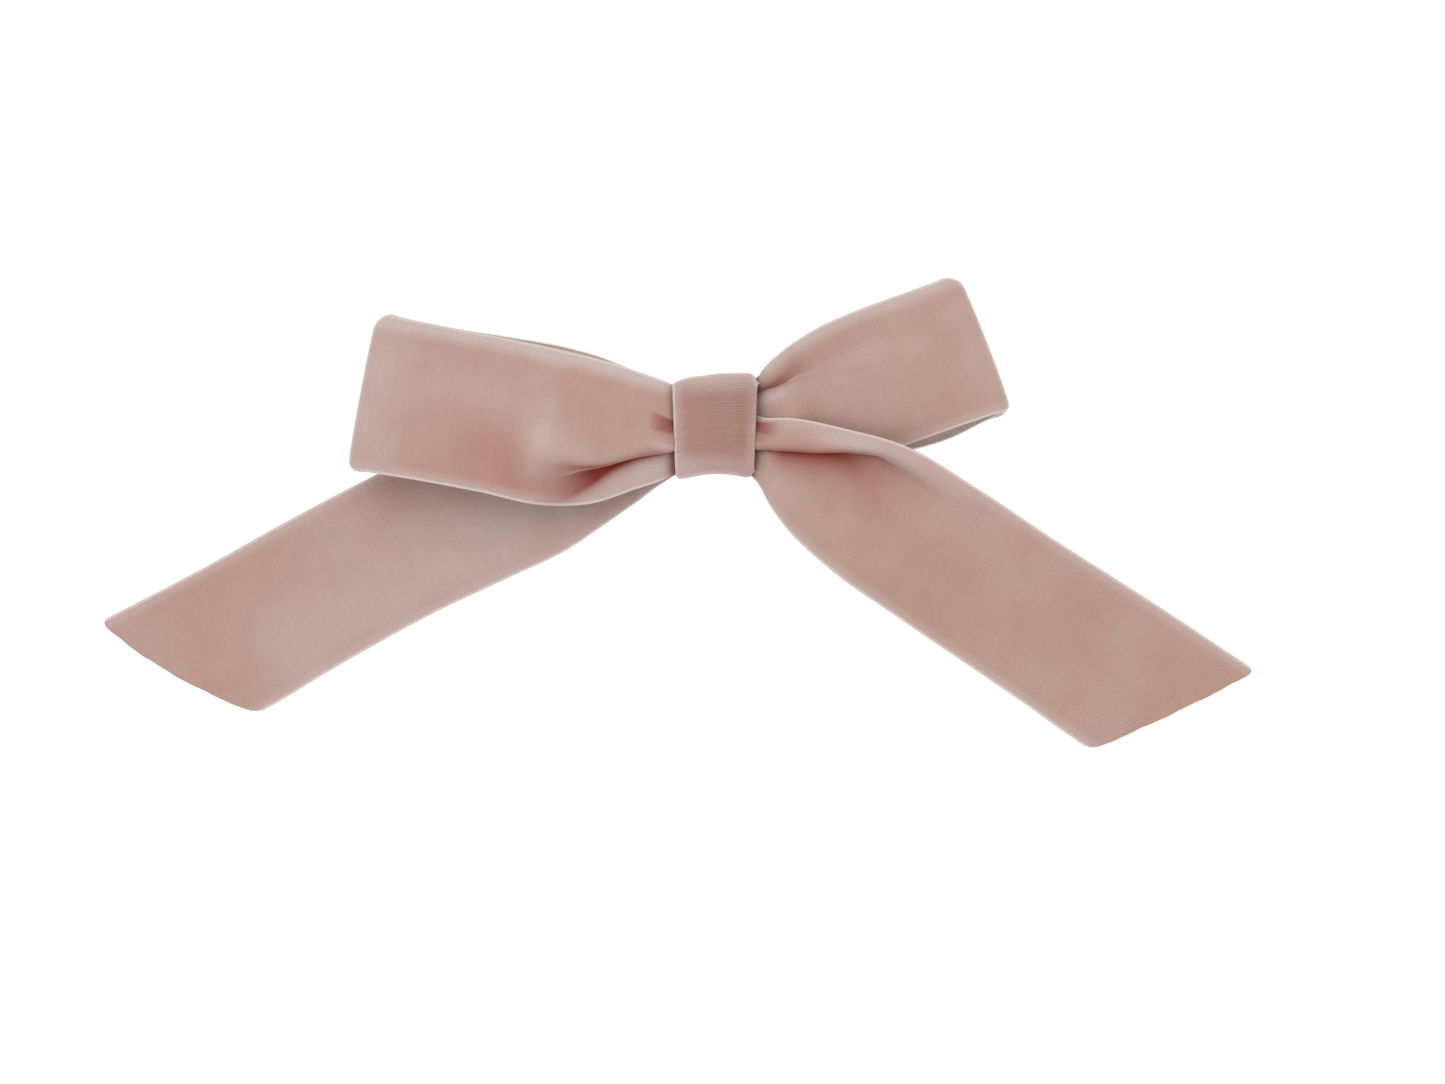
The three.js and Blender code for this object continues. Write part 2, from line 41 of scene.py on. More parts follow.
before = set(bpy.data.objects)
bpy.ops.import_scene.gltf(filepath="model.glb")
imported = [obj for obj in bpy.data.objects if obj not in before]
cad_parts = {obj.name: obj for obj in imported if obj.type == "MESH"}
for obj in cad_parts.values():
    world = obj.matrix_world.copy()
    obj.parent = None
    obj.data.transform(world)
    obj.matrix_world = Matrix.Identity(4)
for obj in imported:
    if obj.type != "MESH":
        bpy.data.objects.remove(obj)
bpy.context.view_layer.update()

MM = 0.001
HALF_WIDTH = 12.5
BAND_EDGE = 6.75


# Shaders ---------------------------------------------------------------------------------------


class Wire:
    """A shader socket that can be used in a sum, and that makes further nodes in its tree."""

    def __init__(self, tree, socket=None):
        self.tree = tree
        self.socket = socket

    def make(self, kind, sockets, output=0, **settings):
        """Adds a node of a kind, sets it up, joins or sets its sockets and gives its output."""
        node = self.tree.nodes.new(kind)
        for name, value in settings.items():
            if name == "stops":
                ramp = node.color_ramp
                while len(ramp.elements) < len(value):
                    ramp.elements.new(0.5)
                for element, (place, colour) in zip(ramp.elements, value):
                    element.position = place
                    element.color = colour
            else:
                setattr(node, name, value)
        for name, value in sockets.items():
            if isinstance(value, Wire):
                self.tree.links.new(value.socket, node.inputs[name])
            else:
                node.inputs[name].default_value = value
        return Wire(self.tree, node.outputs[output])

    def math(self, operation, first, second=0.0):
        return self.make("ShaderNodeMath", {0: first, 1: second}, operation=operation)

    def __add__(self, other):
        return self.math("ADD", self, other)

    __radd__ = __add__

    def __mul__(self, other):
        return self.math("MULTIPLY", self, other)

    __rmul__ = __mul__

    def __sub__(self, other):
        return self.math("SUBTRACT", self, other)

    def __rsub__(self, other):
        return self.math("SUBTRACT", other, self)

    def step(self, low, high):
        """0 below low, 1 above high, smooth between."""
        return self.make(
            "ShaderNodeMapRange",
            {"Value": self, "From Min": low, "From Max": high, "To Min": 0.0, "To Max": 1.0},
            interpolation_type="SMOOTHSTEP",
        )

    def mix(self, first, second):
        """A colour between two, by this wire."""
        return self.make(
            "ShaderNodeMix", {0: self, 6: first, 7: second}, output=2, data_type="RGBA"
        )


def start_material(name):
    """A new material with an empty tree: its first wire, its surface shader and itself."""
    material = bpy.data.materials.new(name)
    material.use_nodes = True
    tree = material.node_tree
    shader = tree.nodes["Principled BSDF"]
    return material, Wire(tree), shader


def feed(shader, **sockets):
    """Joins wires to a shader's sockets, or sets plain values on them."""
    for name, value in sockets.items():
        socket = shader.inputs[name.replace("_", " ")]
        if isinstance(value, Wire):
            value.tree.links.new(value.socket, socket)
        else:
            socket.default_value = value


def rgb(colour):
    return (colour[0], colour[1], colour[2], 1.0)


def cloth_places(wire):
    """Distance along and across a ribbon in millimetres, from the ribbon's own map."""
    cloth = wire.make("ShaderNodeUVMap", {}, uv_map="cloth")
    split = cloth.make("ShaderNodeSeparateXYZ", {"Vector": cloth})
    across = Wire(wire.tree, split.socket.node.outputs[1])
    return cloth, split, across


def velvet_material(name, look, pile, half_width, pitch, rib_share):
    """Short cut pile: mottled, with nap and painted highlights and shade, a painted sheen paler at the
    edges, a pale selvedge line and deep red painted shade in the folds.
    """
    material, wire, shader = start_material(name)
    cloth, along, across = cloth_places(wire)
    place = wire.make("ShaderNodeTexCoord", {}, output="Object")
    fold = wire.make("ShaderNodeAttribute", {}, output="Fac", attribute_name="fold")
    cool = wire.make("ShaderNodeAttribute", {}, output="Fac", attribute_name="cool")
    warm = wire.make("ShaderNodeAttribute", {}, output="Fac", attribute_name="warm")
    off_centre = across.math("ABSOLUTE", across)
    patches = wire.make("ShaderNodeTexNoise", {"Vector": place, "Scale": 55.0, "Detail": 2.0})
    cloud = wire.make("ShaderNodeTexNoise", {"Vector": place, "Scale": 230.0, "Detail": 4.0})
    fuzz = wire.make("ShaderNodeTexNoise", {"Vector": place, "Scale": 2300.0, "Detail": 3.0})
    drawn = wire.make("ShaderNodeMapping", {"Vector": cloth, "Scale": (1.5, 0.09, 1.0)})
    streaks = wire.make("ShaderNodeTexNoise", {"Vector": drawn, "Scale": 1.0, "Detail": 3.0})
    ribs = along.math("SINE", along * (2.0 * math.pi * MM / pitch))
    worn = patches.step(0.38, 0.66) * 0.8 + 0.2
    # Pale pile: random patches and streaks of nap, plus painted highlights and sheen from the mesh's
    # pale tone.
    nap_and_painted_light = patches.step(0.40, 0.68) * 0.18 + (streaks - 0.5) * 0.16 + cool
    body = nap_and_painted_light.math("MAXIMUM", nap_and_painted_light, 0.0).mix(rgb(pile), rgb(look.pile_cool))
    # Warm red pile: random patches of nap, plus painted shade from the mesh's warm tone.
    body = ((1 - patches.step(0.34, 0.56)) * 0.1 + warm).mix(body, rgb(look.pile_warm))
    shade = (
        (cloud - 0.5) * 0.12
        + (streaks - 0.5) * 0.05
        + (fuzz - 0.5) * 0.14
        + ribs * worn * (0.016 * rib_share)
        + 1.0
    )
    body = wire.make("ShaderNodeVectorMath", {0: body, "Scale": shade}, operation="SCALE")
    edge = (streaks - 0.5) * 0.3 + off_centre
    # Painted sheen: the pile paler within about 2 mm of both edges.
    body = (edge.step(half_width - 2.2, half_width - 0.3) * 0.55).mix(body, rgb(look.pile_cool))
    body = edge.step(half_width - 0.48, half_width - 0.28).mix(body, rgb(look.selvedge))
    # Painted shade: deep red in the folds and beside the band.
    body = fold.mix(body, rgb(look.crease))
    height = fuzz * 0.8 + cloud * 0.35 + ribs * worn * (0.16 * rib_share)
    relief = wire.make("ShaderNodeBump", {"Strength": 0.5, "Distance": 0.0002, "Height": height})
    feed(
        shader,
        Base_Color=body,
        Roughness=cloud * 0.12 + 0.82,
        Normal=relief,
        Specular_IOR_Level=0.12,
        Sheen_Weight=look.sheen,
        Sheen_Roughness=0.42,
        Sheen_Tint=rgb(look.sheen_tint),
    )
    return material


def reverse_material(name, look):
    """The back of the ribbon: no pile, close ribs of weft across it and a faint satin gloss."""
    material, wire, shader = start_material(name)
    cloth, along, across = cloth_places(wire)
    place = wire.make("ShaderNodeTexCoord", {}, output="Object")
    cloud = wire.make("ShaderNodeTexNoise", {"Vector": place, "Scale": 260.0, "Detail": 3.0})
    ribs = along.math("SINE", along * (2.0 * math.pi / 0.46))
    warp = across.math("SINE", across * (2.0 * math.pi / 0.30))
    body = (ribs * 0.3 + warp * 0.08 + 0.62).mix(rgb(look.reverse_dark), rgb(look.reverse))
    shade = (cloud - 0.5) * 0.14 + 1.0
    body = wire.make("ShaderNodeVectorMath", {0: body, "Scale": shade}, operation="SCALE")
    off_centre = across.math("ABSOLUTE", across)
    body = (off_centre.step(HALF_WIDTH - 1.1, HALF_WIDTH - 0.7) * 0.8).mix(body, rgb(look.selvedge))
    relief = wire.make(
        "ShaderNodeBump",
        {"Strength": 0.5, "Distance": 0.0001, "Height": ribs * 0.5 + warp * 0.2},
    )
    feed(
        shader,
        Base_Color=body,
        Roughness=0.6 - ribs * 0.05,
        Normal=relief,
        Sheen_Weight=0.25,
        Sheen_Roughness=0.5,
        Sheen_Tint=rgb(look.sheen_tint),
    )
    return material


def selvedge_material(name, look):
    """The woven edge thread, seen on the cut thickness of the ribbon."""
    material, wire, shader = start_material(name)
    cloth, along, across = cloth_places(wire)
    twist = along.math("SINE", along * (2.0 * math.pi / 0.5))
    grain = wire.make("ShaderNodeTexNoise", {"Vector": cloth, "Scale": 1.7, "Detail": 3.0})
    body = (twist * 0.12 + grain * 0.5 + 0.35).mix(rgb(look.reverse), rgb(look.selvedge))
    relief = wire.make(
        "ShaderNodeBump", {"Strength": 0.5, "Distance": 0.0001, "Height": twist * 0.5 + grain}
    )
    feed(
        shader,
        Base_Color=body,
        Roughness=0.7,
        Normal=relief,
        Sheen_Weight=0.2,
        Sheen_Roughness=0.4,
        Sheen_Tint=rgb(look.sheen_tint),
    )
    return material


def metal_material(name, colour, roughness, brushing):
    """Plated steel: a stamped sheet's faint drawing lines, finger haze and small dull spots."""
    material, wire, shader = start_material(name)
    place = wire.make("ShaderNodeTexCoord", {}, output="Object")
    drawn = wire.make("ShaderNodeMapping", {"Vector": place, "Scale": (60.0, 2400.0, 2400.0)})
    lines = wire.make("ShaderNodeTexNoise", {"Vector": drawn, "Scale": 1.0, "Detail": 3.0})
    haze = wire.make("ShaderNodeTexNoise", {"Vector": place, "Scale": 130.0, "Detail": 4.0})
    spots = wire.make("ShaderNodeTexNoise", {"Vector": place, "Scale": 900.0, "Detail": 2.0})
    dull = spots.step(0.66, 0.74)
    tint = (haze * 0.35 + dull * 0.3).mix(rgb(colour), rgb([c * 0.78 for c in colour]))
    relief = wire.make(
        "ShaderNodeBump", {"Strength": brushing, "Distance": 0.00003, "Height": lines + dull * 0.2}
    )
    feed(
        shader,
        Base_Color=tint,
        Metallic=1.0 - dull * 0.25,
        Roughness=haze * 0.16 + lines * 0.1 + dull * 0.2 + roughness,
        Normal=relief,
    )
    return material


def thread_material(name, look):
    """Twisted sewing thread, drawn over the wound turns."""
    material, wire, shader = start_material(name)
    place = wire.make("ShaderNodeTexCoord", {}, output="Object")
    split = place.make("ShaderNodeSeparateXYZ", {"Vector": place})
    turns = split.math("SINE", split * (2.0 * math.pi / 0.0005))
    grain = wire.make("ShaderNodeTexNoise", {"Vector": place, "Scale": 3000.0, "Detail": 2.0})
    body = (turns * 0.3 + grain * 0.6).mix(rgb(look.reverse_dark), rgb(look.selvedge))
    relief = wire.make(
        "ShaderNodeBump", {"Strength": 0.6, "Distance": 0.0001, "Height": turns * 0.5 + grain * 0.3}
    )
    feed(shader, Base_Color=body, Roughness=0.6, Normal=relief)
    return material


def glue_material(name):
    """Hot-melt glue: milky, smooth and slightly uneven."""
    material, wire, shader = start_material(name)
    place = wire.make("ShaderNodeTexCoord", {}, output="Object")
    cloud = wire.make("ShaderNodeTexNoise", {"Vector": place, "Scale": 300.0, "Detail": 3.0})
    body = cloud.mix((0.80, 0.76, 0.66, 1.0), (0.90, 0.88, 0.82, 1.0))
    relief = wire.make(
        "ShaderNodeBump", {"Strength": 0.5, "Distance": 0.0002, "Height": cloud}
    )
    feed(shader, Base_Color=body, Roughness=cloud * 0.2 + 0.25, Normal=relief)
    return material


def paper_material(name, colour):
    """Plain pale studio floor with the faintest mottling."""
    material, wire, shader = start_material(name)
    place = wire.make("ShaderNodeTexCoord", {}, output="Object")
    cloud = wire.make("ShaderNodeTexNoise", {"Vector": place, "Scale": 6.0, "Detail": 2.0})
    body = cloud.mix(rgb(colour), rgb([c * 0.985 for c in colour]))
    feed(shader, Base_Color=body, Roughness=0.9)
    return material


# Cloth -----------------------------------------------------------------------------------------


def smooth(value, low=0.0, high=1.0):
    """0 below low, 1 above high, smooth between, on numbers or arrays."""
    t = np.clip((np.asarray(value, float) - low) / (high - low), 0.0, 1.0)
    return t * t * (3.0 - 2.0 * t)


def trace(stations, places):
    """Smooth values along a line of stations, at distances along it."""
    stations = np.asarray(stations, float)
    gaps = np.linalg.norm(np.diff(stations[:, :3], axis=0), axis=1)
    knots = np.concatenate([[0.0], np.cumsum(gaps)])
    slopes = np.gradient(stations, knots, axis=0)
    index = np.clip(np.searchsorted(knots, places, "right") - 1, 0, len(knots) - 2)
    span = (knots[index + 1] - knots[index])[..., None]
    t = (places - knots[index])[..., None] / span
    t = np.clip(t, 0.0, 1.0)
    first, last = stations[index], stations[index + 1]
    rise, fall = slopes[index] * span, slopes[index + 1] * span
    return (
        (2 * t**3 - 3 * t**2 + 1) * first
        + (t**3 - 2 * t**2 + t) * rise
        + (3 * t**2 - 2 * t**3) * last
        + (t**3 - t**2) * fall
    )


def line_length(stations):
    stations = np.asarray(stations, float)
    return float(np.linalg.norm(np.diff(stations[:, :3], axis=0), axis=1).sum())


class Pleat:
    """A fold that starts at the knot and opens out along the ribbon.

    way is -1 where the upper part lies over the lower, 1 where the lower lies over the upper.
    Each row gives, at a distance out from the knot band: the fold's place across the ribbon, the
    cloth hidden under it, the angle it turns through, the radius of its open roll and of its
    hidden turn, how strong the red shade painted inside it is, and how far that painted shade
    spreads on to the cloth below.
    """

    def __init__(self, way, rows):
        self.way = way
        self.rows = np.array(rows, float)

    def at(self, out):
        return [np.interp(out, self.rows[:, 0], self.rows[:, i]) for i in range(1, 8)]

    def slope(self, across, out):
        """The cloth's turn out of its plane and the red shade painted in and below the fold, at places
        across it.
        """
        middle, hidden, angle, roll, turn, tone, spread = self.at(out)
        first, last = (turn, roll) if self.way < 0 else (roll, turn)
        rise_from = middle - hidden / 2 - math.pi * first
        fall_to = middle + hidden / 2 + math.pi * last
        rise = smooth((across - rise_from) / (math.pi * first))
        fall = smooth((across - middle - hidden / 2) / (math.pi * last))
        under = 0.97 * hidden + 1.3 * roll * math.sin(min(math.radians(angle), math.pi / 2))
        if self.way < 0:
            outside = (rise_from - under) - across
            inside = across - (middle + hidden / 2 + 0.5 * math.pi * last)
        else:
            outside = across - (fall_to + under)
            inside = (middle - hidden / 2 - 0.5 * math.pi * first) - across
        # Painted shade: red and dark in the fold, fading out on to the cloth below it.
        shade = tone * np.exp(-((np.maximum(outside, 0.0) / max(spread, 0.05)) ** 1.3))
        shade = shade * np.exp(-np.maximum(inside, 0.0) / 0.55)
        return self.way * math.radians(angle) * rise * (1.0 - fall), shade


def sheet_mesh(name, points, places, tones, flip, thickness, materials):
    """A closed thin cloth from a grid of points, with its flat map and the tones painted on its pile:
    shade, highlight and nap.
    """
    rows, columns = points.shape[:2]
    mesh = bpy.data.meshes.new(name)
    index = np.arange(rows * columns).reshape(rows, columns)
    corners = [index[:-1, :-1], index[1:, :-1], index[1:, 1:], index[:-1, 1:]]
    if flip:
        corners.reverse()
    faces = np.stack([c.ravel() for c in corners], axis=1)
    mesh.from_pydata((points.reshape(-1, 3) * MM).tolist(), [], faces.tolist())
    layer = mesh.uv_layers.new(name="cloth")
    flat = places.reshape(-1, 2)[faces.ravel()]
    layer.data.foreach_set("uv", flat.ravel().astype(np.float32))
    for title, tone in tones.items():
        layer = mesh.attributes.new(title, "FLOAT", "POINT")
        layer.data.foreach_set("value", np.clip(tone, 0.0, 1.0).ravel().astype(np.float32))
    for material in materials:
        mesh.materials.append(material)
    piece = bpy.data.objects.new(name, mesh)
    bpy.context.scene.collection.objects.link(piece)
    choose(piece)
    shell = piece.modifiers.new("thickness", "SOLIDIFY")
    shell.thickness = thickness * MM
    shell.offset = 0.0
    shell.material_offset = 1
    shell.material_offset_rim = 2
    bpy.ops.object.modifier_apply(modifier=shell.name)
    bpy.ops.object.shade_smooth_by_angle(angle=math.radians(50.0))
    return piece


def choose(*pieces):
    """Selects only these pieces, the first one active."""
    bpy.ops.object.select_all(action="DESELECT")
    for piece in pieces:
        piece.select_set(True)
    bpy.context.view_layer.objects.active = pieces[0]


class Strip:
    """One ribbon: where its middle runs, how it folds, and what light and shade is painted on each
    stretch.

    stations are (x, z, y, lean, chord) in millimetres and degrees, from the tail's end round the
    loop to the hidden end. stretches are the tail, the loop's front layer and its back layer.
    """

    def __init__(self, stations, side, fold_y, tail, stretches, corners):
        self.stations = np.array(stations, float)
        self.side = side
        self.fold_y = fold_y
        self.tail = tail
        self.stretches = stretches
        self.corners = corners

    def landmarks(self):
        """Distances along the ribbon to its two passes of the waist and to the loop's end."""
        gaps = np.linalg.norm(np.diff(self.stations[:, :3], axis=0), axis=1)
        places = np.concatenate([[0.0], np.cumsum(gaps)])
        middle = places[np.abs(self.stations[:, 0]) < 0.01]
        end = places[np.abs(self.stations[:, 2] - self.fold_y) < 0.01]
        return middle[0], middle[1], end[0]

    def sections(self, rows, across):
        """Each row's cross-section: places across the chord, depths, and the painted tones of shade,
        highlight and nap.
        """
        first, second, end = self.landmarks()
        chords = trace(self.stations, rows)[:, 4]
        widths = np.zeros((len(rows), len(across)))
        depths = np.zeros_like(widths)
        tones = {name: np.zeros_like(widths) for name in ("fold", "cool", "warm")}
        step = np.diff(across)
        share = (across + HALF_WIDTH) / (2 * HALF_WIDTH)
        for i, (row, chord) in enumerate(zip(rows, chords)):
            if row >= end:
                near, out = self.stretches[2], abs(second - row) - BAND_EDGE
            else:
                near = self.stretches[0 if row < first else 1]
                out = abs(row - first) - BAND_EDGE
            gather = 1.0 - smooth(out, -2.0, 1.0)
            slope = np.zeros_like(across)
            # Painted shade from each pleat, keeping the strongest where they overlap.
            for pleat in near["pleats"]:
                turn, shade = pleat.slope(across, max(out, 0.0))
                slope = slope + turn
                tones["fold"][i] = np.maximum(tones["fold"][i], shade)
            # Painted shade: deep red close to the band, where the ribbon goes behind it.
            tones["fold"][i] = np.maximum(tones["fold"][i], 0.8 * (1.0 - smooth(out, -0.2, 1.9)))
            bulge = np.zeros_like(across)
            for place_at, middle, long, wide, depth in near["dents"]:
                fade = math.exp(-(((max(out, 0.0) - place_at) / long) ** 2))
                bulge = bulge + depth * fade * np.exp(-(((across - middle) / wide) ** 2))
            # Patches of painted highlight (amount above 0) and painted shade (below 0), partly the
            # nap's own tone.
            for place_at, middle, long, wide, amount in near["nap_and_painted_light"]:
                fade = math.exp(-(((max(out, 0.0) - place_at) / long) ** 2))
                patch = fade * np.exp(-(((across - middle) / wide) ** 2))
                tones["cool" if amount > 0 else "warm"][i] += abs(amount) * patch
            # Painted sheen: paler along the top selvedge.
            tones["cool"][i] += near["painted_top_sheen"] * smooth(across, HALF_WIDTH - 3.2, HALF_WIDTH - 0.6)
            crown = near["crown"] * smooth(out, 0.0, 4.5) * (1.0 - smooth(out, 14.0, 42.0))
            crown = crown + near["crown_far"] * smooth(out, 10.0, 40.0)
            curl = near["curl"] * (1.0 - 0.6 * smooth(out, 18.0, 45.0))
            edge = np.exp(-(HALF_WIDTH - np.abs(across)) / 1.5)
            run = np.concatenate([[0.0], np.cumsum(np.cos((slope[1:] + slope[:-1]) / 2) * step)])
            deep = np.concatenate([[0.0], np.cumsum(np.sin((slope[1:] + slope[:-1]) / 2) * step)])
            deep = deep - deep[-1] * share
            deep = (deep - deep.mean()) * (1.0 - 0.5 * gather)
            deep = deep + bulge - crown * (1.0 - (across / HALF_WIDTH) ** 2) + curl * edge
            widths[i] = (run / run[-1] - 0.5) * chord
            depths[i] = deep
        return widths, depths, tones

    def surface(self, row_count, column_count):
        length = line_length(self.stations)
        rows = np.linspace(0.0, length, row_count + 1)
        across = np.linspace(-HALF_WIDTH, HALF_WIDTH, column_count + 1)
        share = across / HALF_WIDTH
        widths, depths, tones = self.sections(rows, across)
        slant = 2 * HALF_WIDTH * math.tan(math.radians(self.tail["slant"]))
        corner = self.tail["corner"]
        near_edge = np.clip((np.abs(across) - (HALF_WIDTH - corner)) / corner, 0.0, 1.0)
        shift = slant * (0.5 - share / 2) - self.tail["belly"] * (1.0 - share**2)
        shift = shift + corner * (1.0 - np.sqrt(1.0 - near_edge**2 * 0.98))
        shift = shift + 0.07 * np.sin(across * 0.9) + 0.03 * np.sin(across * 2.3 + 1.0)
        fade = 1.0 - smooth(rows, 0.0, 34.0)
        at = rows[:, None] + shift[None, :] * fade[:, None]
        here = trace(self.stations, np.maximum(at, 0.0))
        ahead = trace(self.stations, np.clip(at + 0.15, 0.3, length))
        behind = trace(self.stations, np.maximum(at - 0.15, 0.0))
        run = (ahead - behind)[..., [0, 2, 1]]
        run /= np.linalg.norm(run, axis=-1, keepdims=True)
        tilt = np.radians(here[..., 3])
        width = np.stack([np.sin(tilt), np.zeros_like(tilt), np.cos(tilt)], axis=-1)
        back = np.cross(run, width) * self.side
        back /= np.linalg.norm(back, axis=-1, keepdims=True)
        middle = here[..., [0, 2, 1]] + run * np.minimum(at, 0.0)[..., None]
        points = middle + width * widths[..., None] + back * depths[..., None]
        end = self.landmarks()[2]
        round_top, round_bottom, inward = self.corners
        size = np.where(across > 0, round_top, round_bottom)
        past = np.clip((np.abs(across) - (HALF_WIDTH - size)) / size, 0.0, 1.0)
        pull = size * (1.0 - np.sqrt(1.0 - past**2 * 0.96))
        near_end = np.exp(-(((rows - end) / 5.0) ** 2))
        points = points + np.array(inward) * (near_end[:, None] * pull[None, :])[..., None]
        places = np.stack([at, np.broadcast_to(across, at.shape)], axis=-1)
        return points, places, tones


def half_turn(x, z, front, lean, radius, outward, chord, drop=0.0, count=9):
    """Stations round the end of a loop, from its front layer to a back layer that hangs by drop."""
    tilt = math.radians(lean)
    turns = [math.pi * i / (count - 1) for i in range(count)]
    return [
        (
            x + radius * math.sin(t) * outward * math.cos(tilt),
            z - radius * math.sin(t) * outward * math.sin(tilt) - drop * (1.0 - math.cos(t)) / 2,
            front + radius * (1.0 - math.cos(t)),
            lean,
            chord,
        )
        for t in turns
    ]


# Rows of each pleat: out, place, hidden, angle, roll, turn, tone, spread; tone is the strength of the
# red shade painted in the fold, spread how far that painted shade reaches.
TAIL_FLAP = Pleat(
    -1,
    [
        (0.0, 2.1, 4.6, 165, 0.50, 0.40, 0.35, 0.4),
        (3.0, 3.4, 3.6, 165, 0.65, 0.40, 0.50, 0.6),
        (5.5, 3.8, 2.75, 165, 0.80, 0.40, 1.00, 2.2),
        (10.0, 5.1, 1.3, 165, 1.00, 0.40, 1.00, 3.0),
        (14.0, 6.9, 0.2, 142, 1.10, 0.50, 0.90, 3.2),
        (19.0, 8.2, 0.0, 108, 1.20, 0.60, 0.36, 3.4),
        (26.0, 8.2, 0.0, 58, 1.25, 0.80, 0.10, 3.4),
        (34.0, 8.2, 0.0, 20, 1.30, 0.90, 0.0, 2.0),
        (42.0, 8.2, 0.0, 0, 1.30, 1.00, 0.0, 2.0),
    ],
)
LOOP_FLAP = Pleat(
    -1,
    [
        (0.0, -0.8, 3.8, 165, 0.50, 0.40, 0.35, 0.2),
        (3.5, -2.2, 2.4, 165, 0.70, 0.40, 1.00, 0.3),
        (6.0, -3.2, 1.2, 165, 0.90, 0.40, 1.00, 0.6),
        (10.0, -4.7, 0.0, 146, 1.20, 0.50, 1.00, 1.0),
        (13.0, -5.5, 0.0, 120, 1.60, 0.60, 0.95, 0.8),
        (16.0, -6.4, 0.0, 92, 1.70, 0.70, 0.65, 0.9),
        (19.0, -7.3, 0.0, 64, 1.75, 0.80, 0.28, 1.0),
        (23.0, -8.0, 0.0, 42, 1.80, 0.90, 0.05, 1.0),
        (28.0, -8.5, 0.0, 22, 1.80, 1.00, 0.0, 1.0),
        (36.0, -8.5, 0.0, 0, 1.80, 1.00, 0.0, 1.0),
    ],
)
LOOP_VALLEY = Pleat(
    1,
    [
        (0.0, 6.3, 0.3, 110, 0.45, 0.40, 0.30, 0.3),
        (2.5, 6.1, 0.4, 140, 0.50, 0.40, 0.75, 0.6),
        (4.5, 5.8, 0.1, 124, 0.60, 0.45, 0.70, 1.0),
        (7.5, 5.3, 0.0, 88, 0.75, 0.60, 0.36, 1.3),
        (11.0, 4.9, 0.0, 56, 0.90, 0.80, 0.16, 1.6),
        (19.0, 4.0, 0.0, 34, 1.20, 1.00, 0.10, 2.0),
        (27.0, 4.0, 0.0, 18, 1.40, 1.20, 0.0, 2.0),
        (36.0, 4.0, 0.0, 0, 1.40, 1.30, 0.0, 2.0),
    ],
)


def crease(place_at, angle, long, tone):
    """A short pinch of the cloth where it comes out of the band, with tone the strength of the red
    shade painted in it.
    """
    return Pleat(
        1,
        [
            (0.0, place_at, 0.0, angle, 0.34, 0.34, tone, 0.25),
            (long * 0.6, place_at, 0.0, angle * 0.5, 0.45, 0.45, tone * 0.6, 0.2),
            (long, place_at, 0.0, 0, 0.6, 0.6, 0.0, 0.2),
        ],
    )


def hidden_pleat(place_at, hide, long, way):
    """A knife pleat on a stretch that the rest of the bow mostly covers, with red shade painted in it.
    """
    return Pleat(
        way,
        [
            (0.0, place_at, hide, 165, 0.45, 0.40, 0.6, 0.5),
            (long * 0.4, place_at, hide * 0.4, 160, 0.70, 0.45, 0.7, 0.8),
            (long * 0.7, place_at, 0.0, 100, 1.00, 0.70, 0.3, 1.0),
            (long, place_at, 0.0, 0, 1.20, 1.00, 0.0, 1.0),
        ],
    )


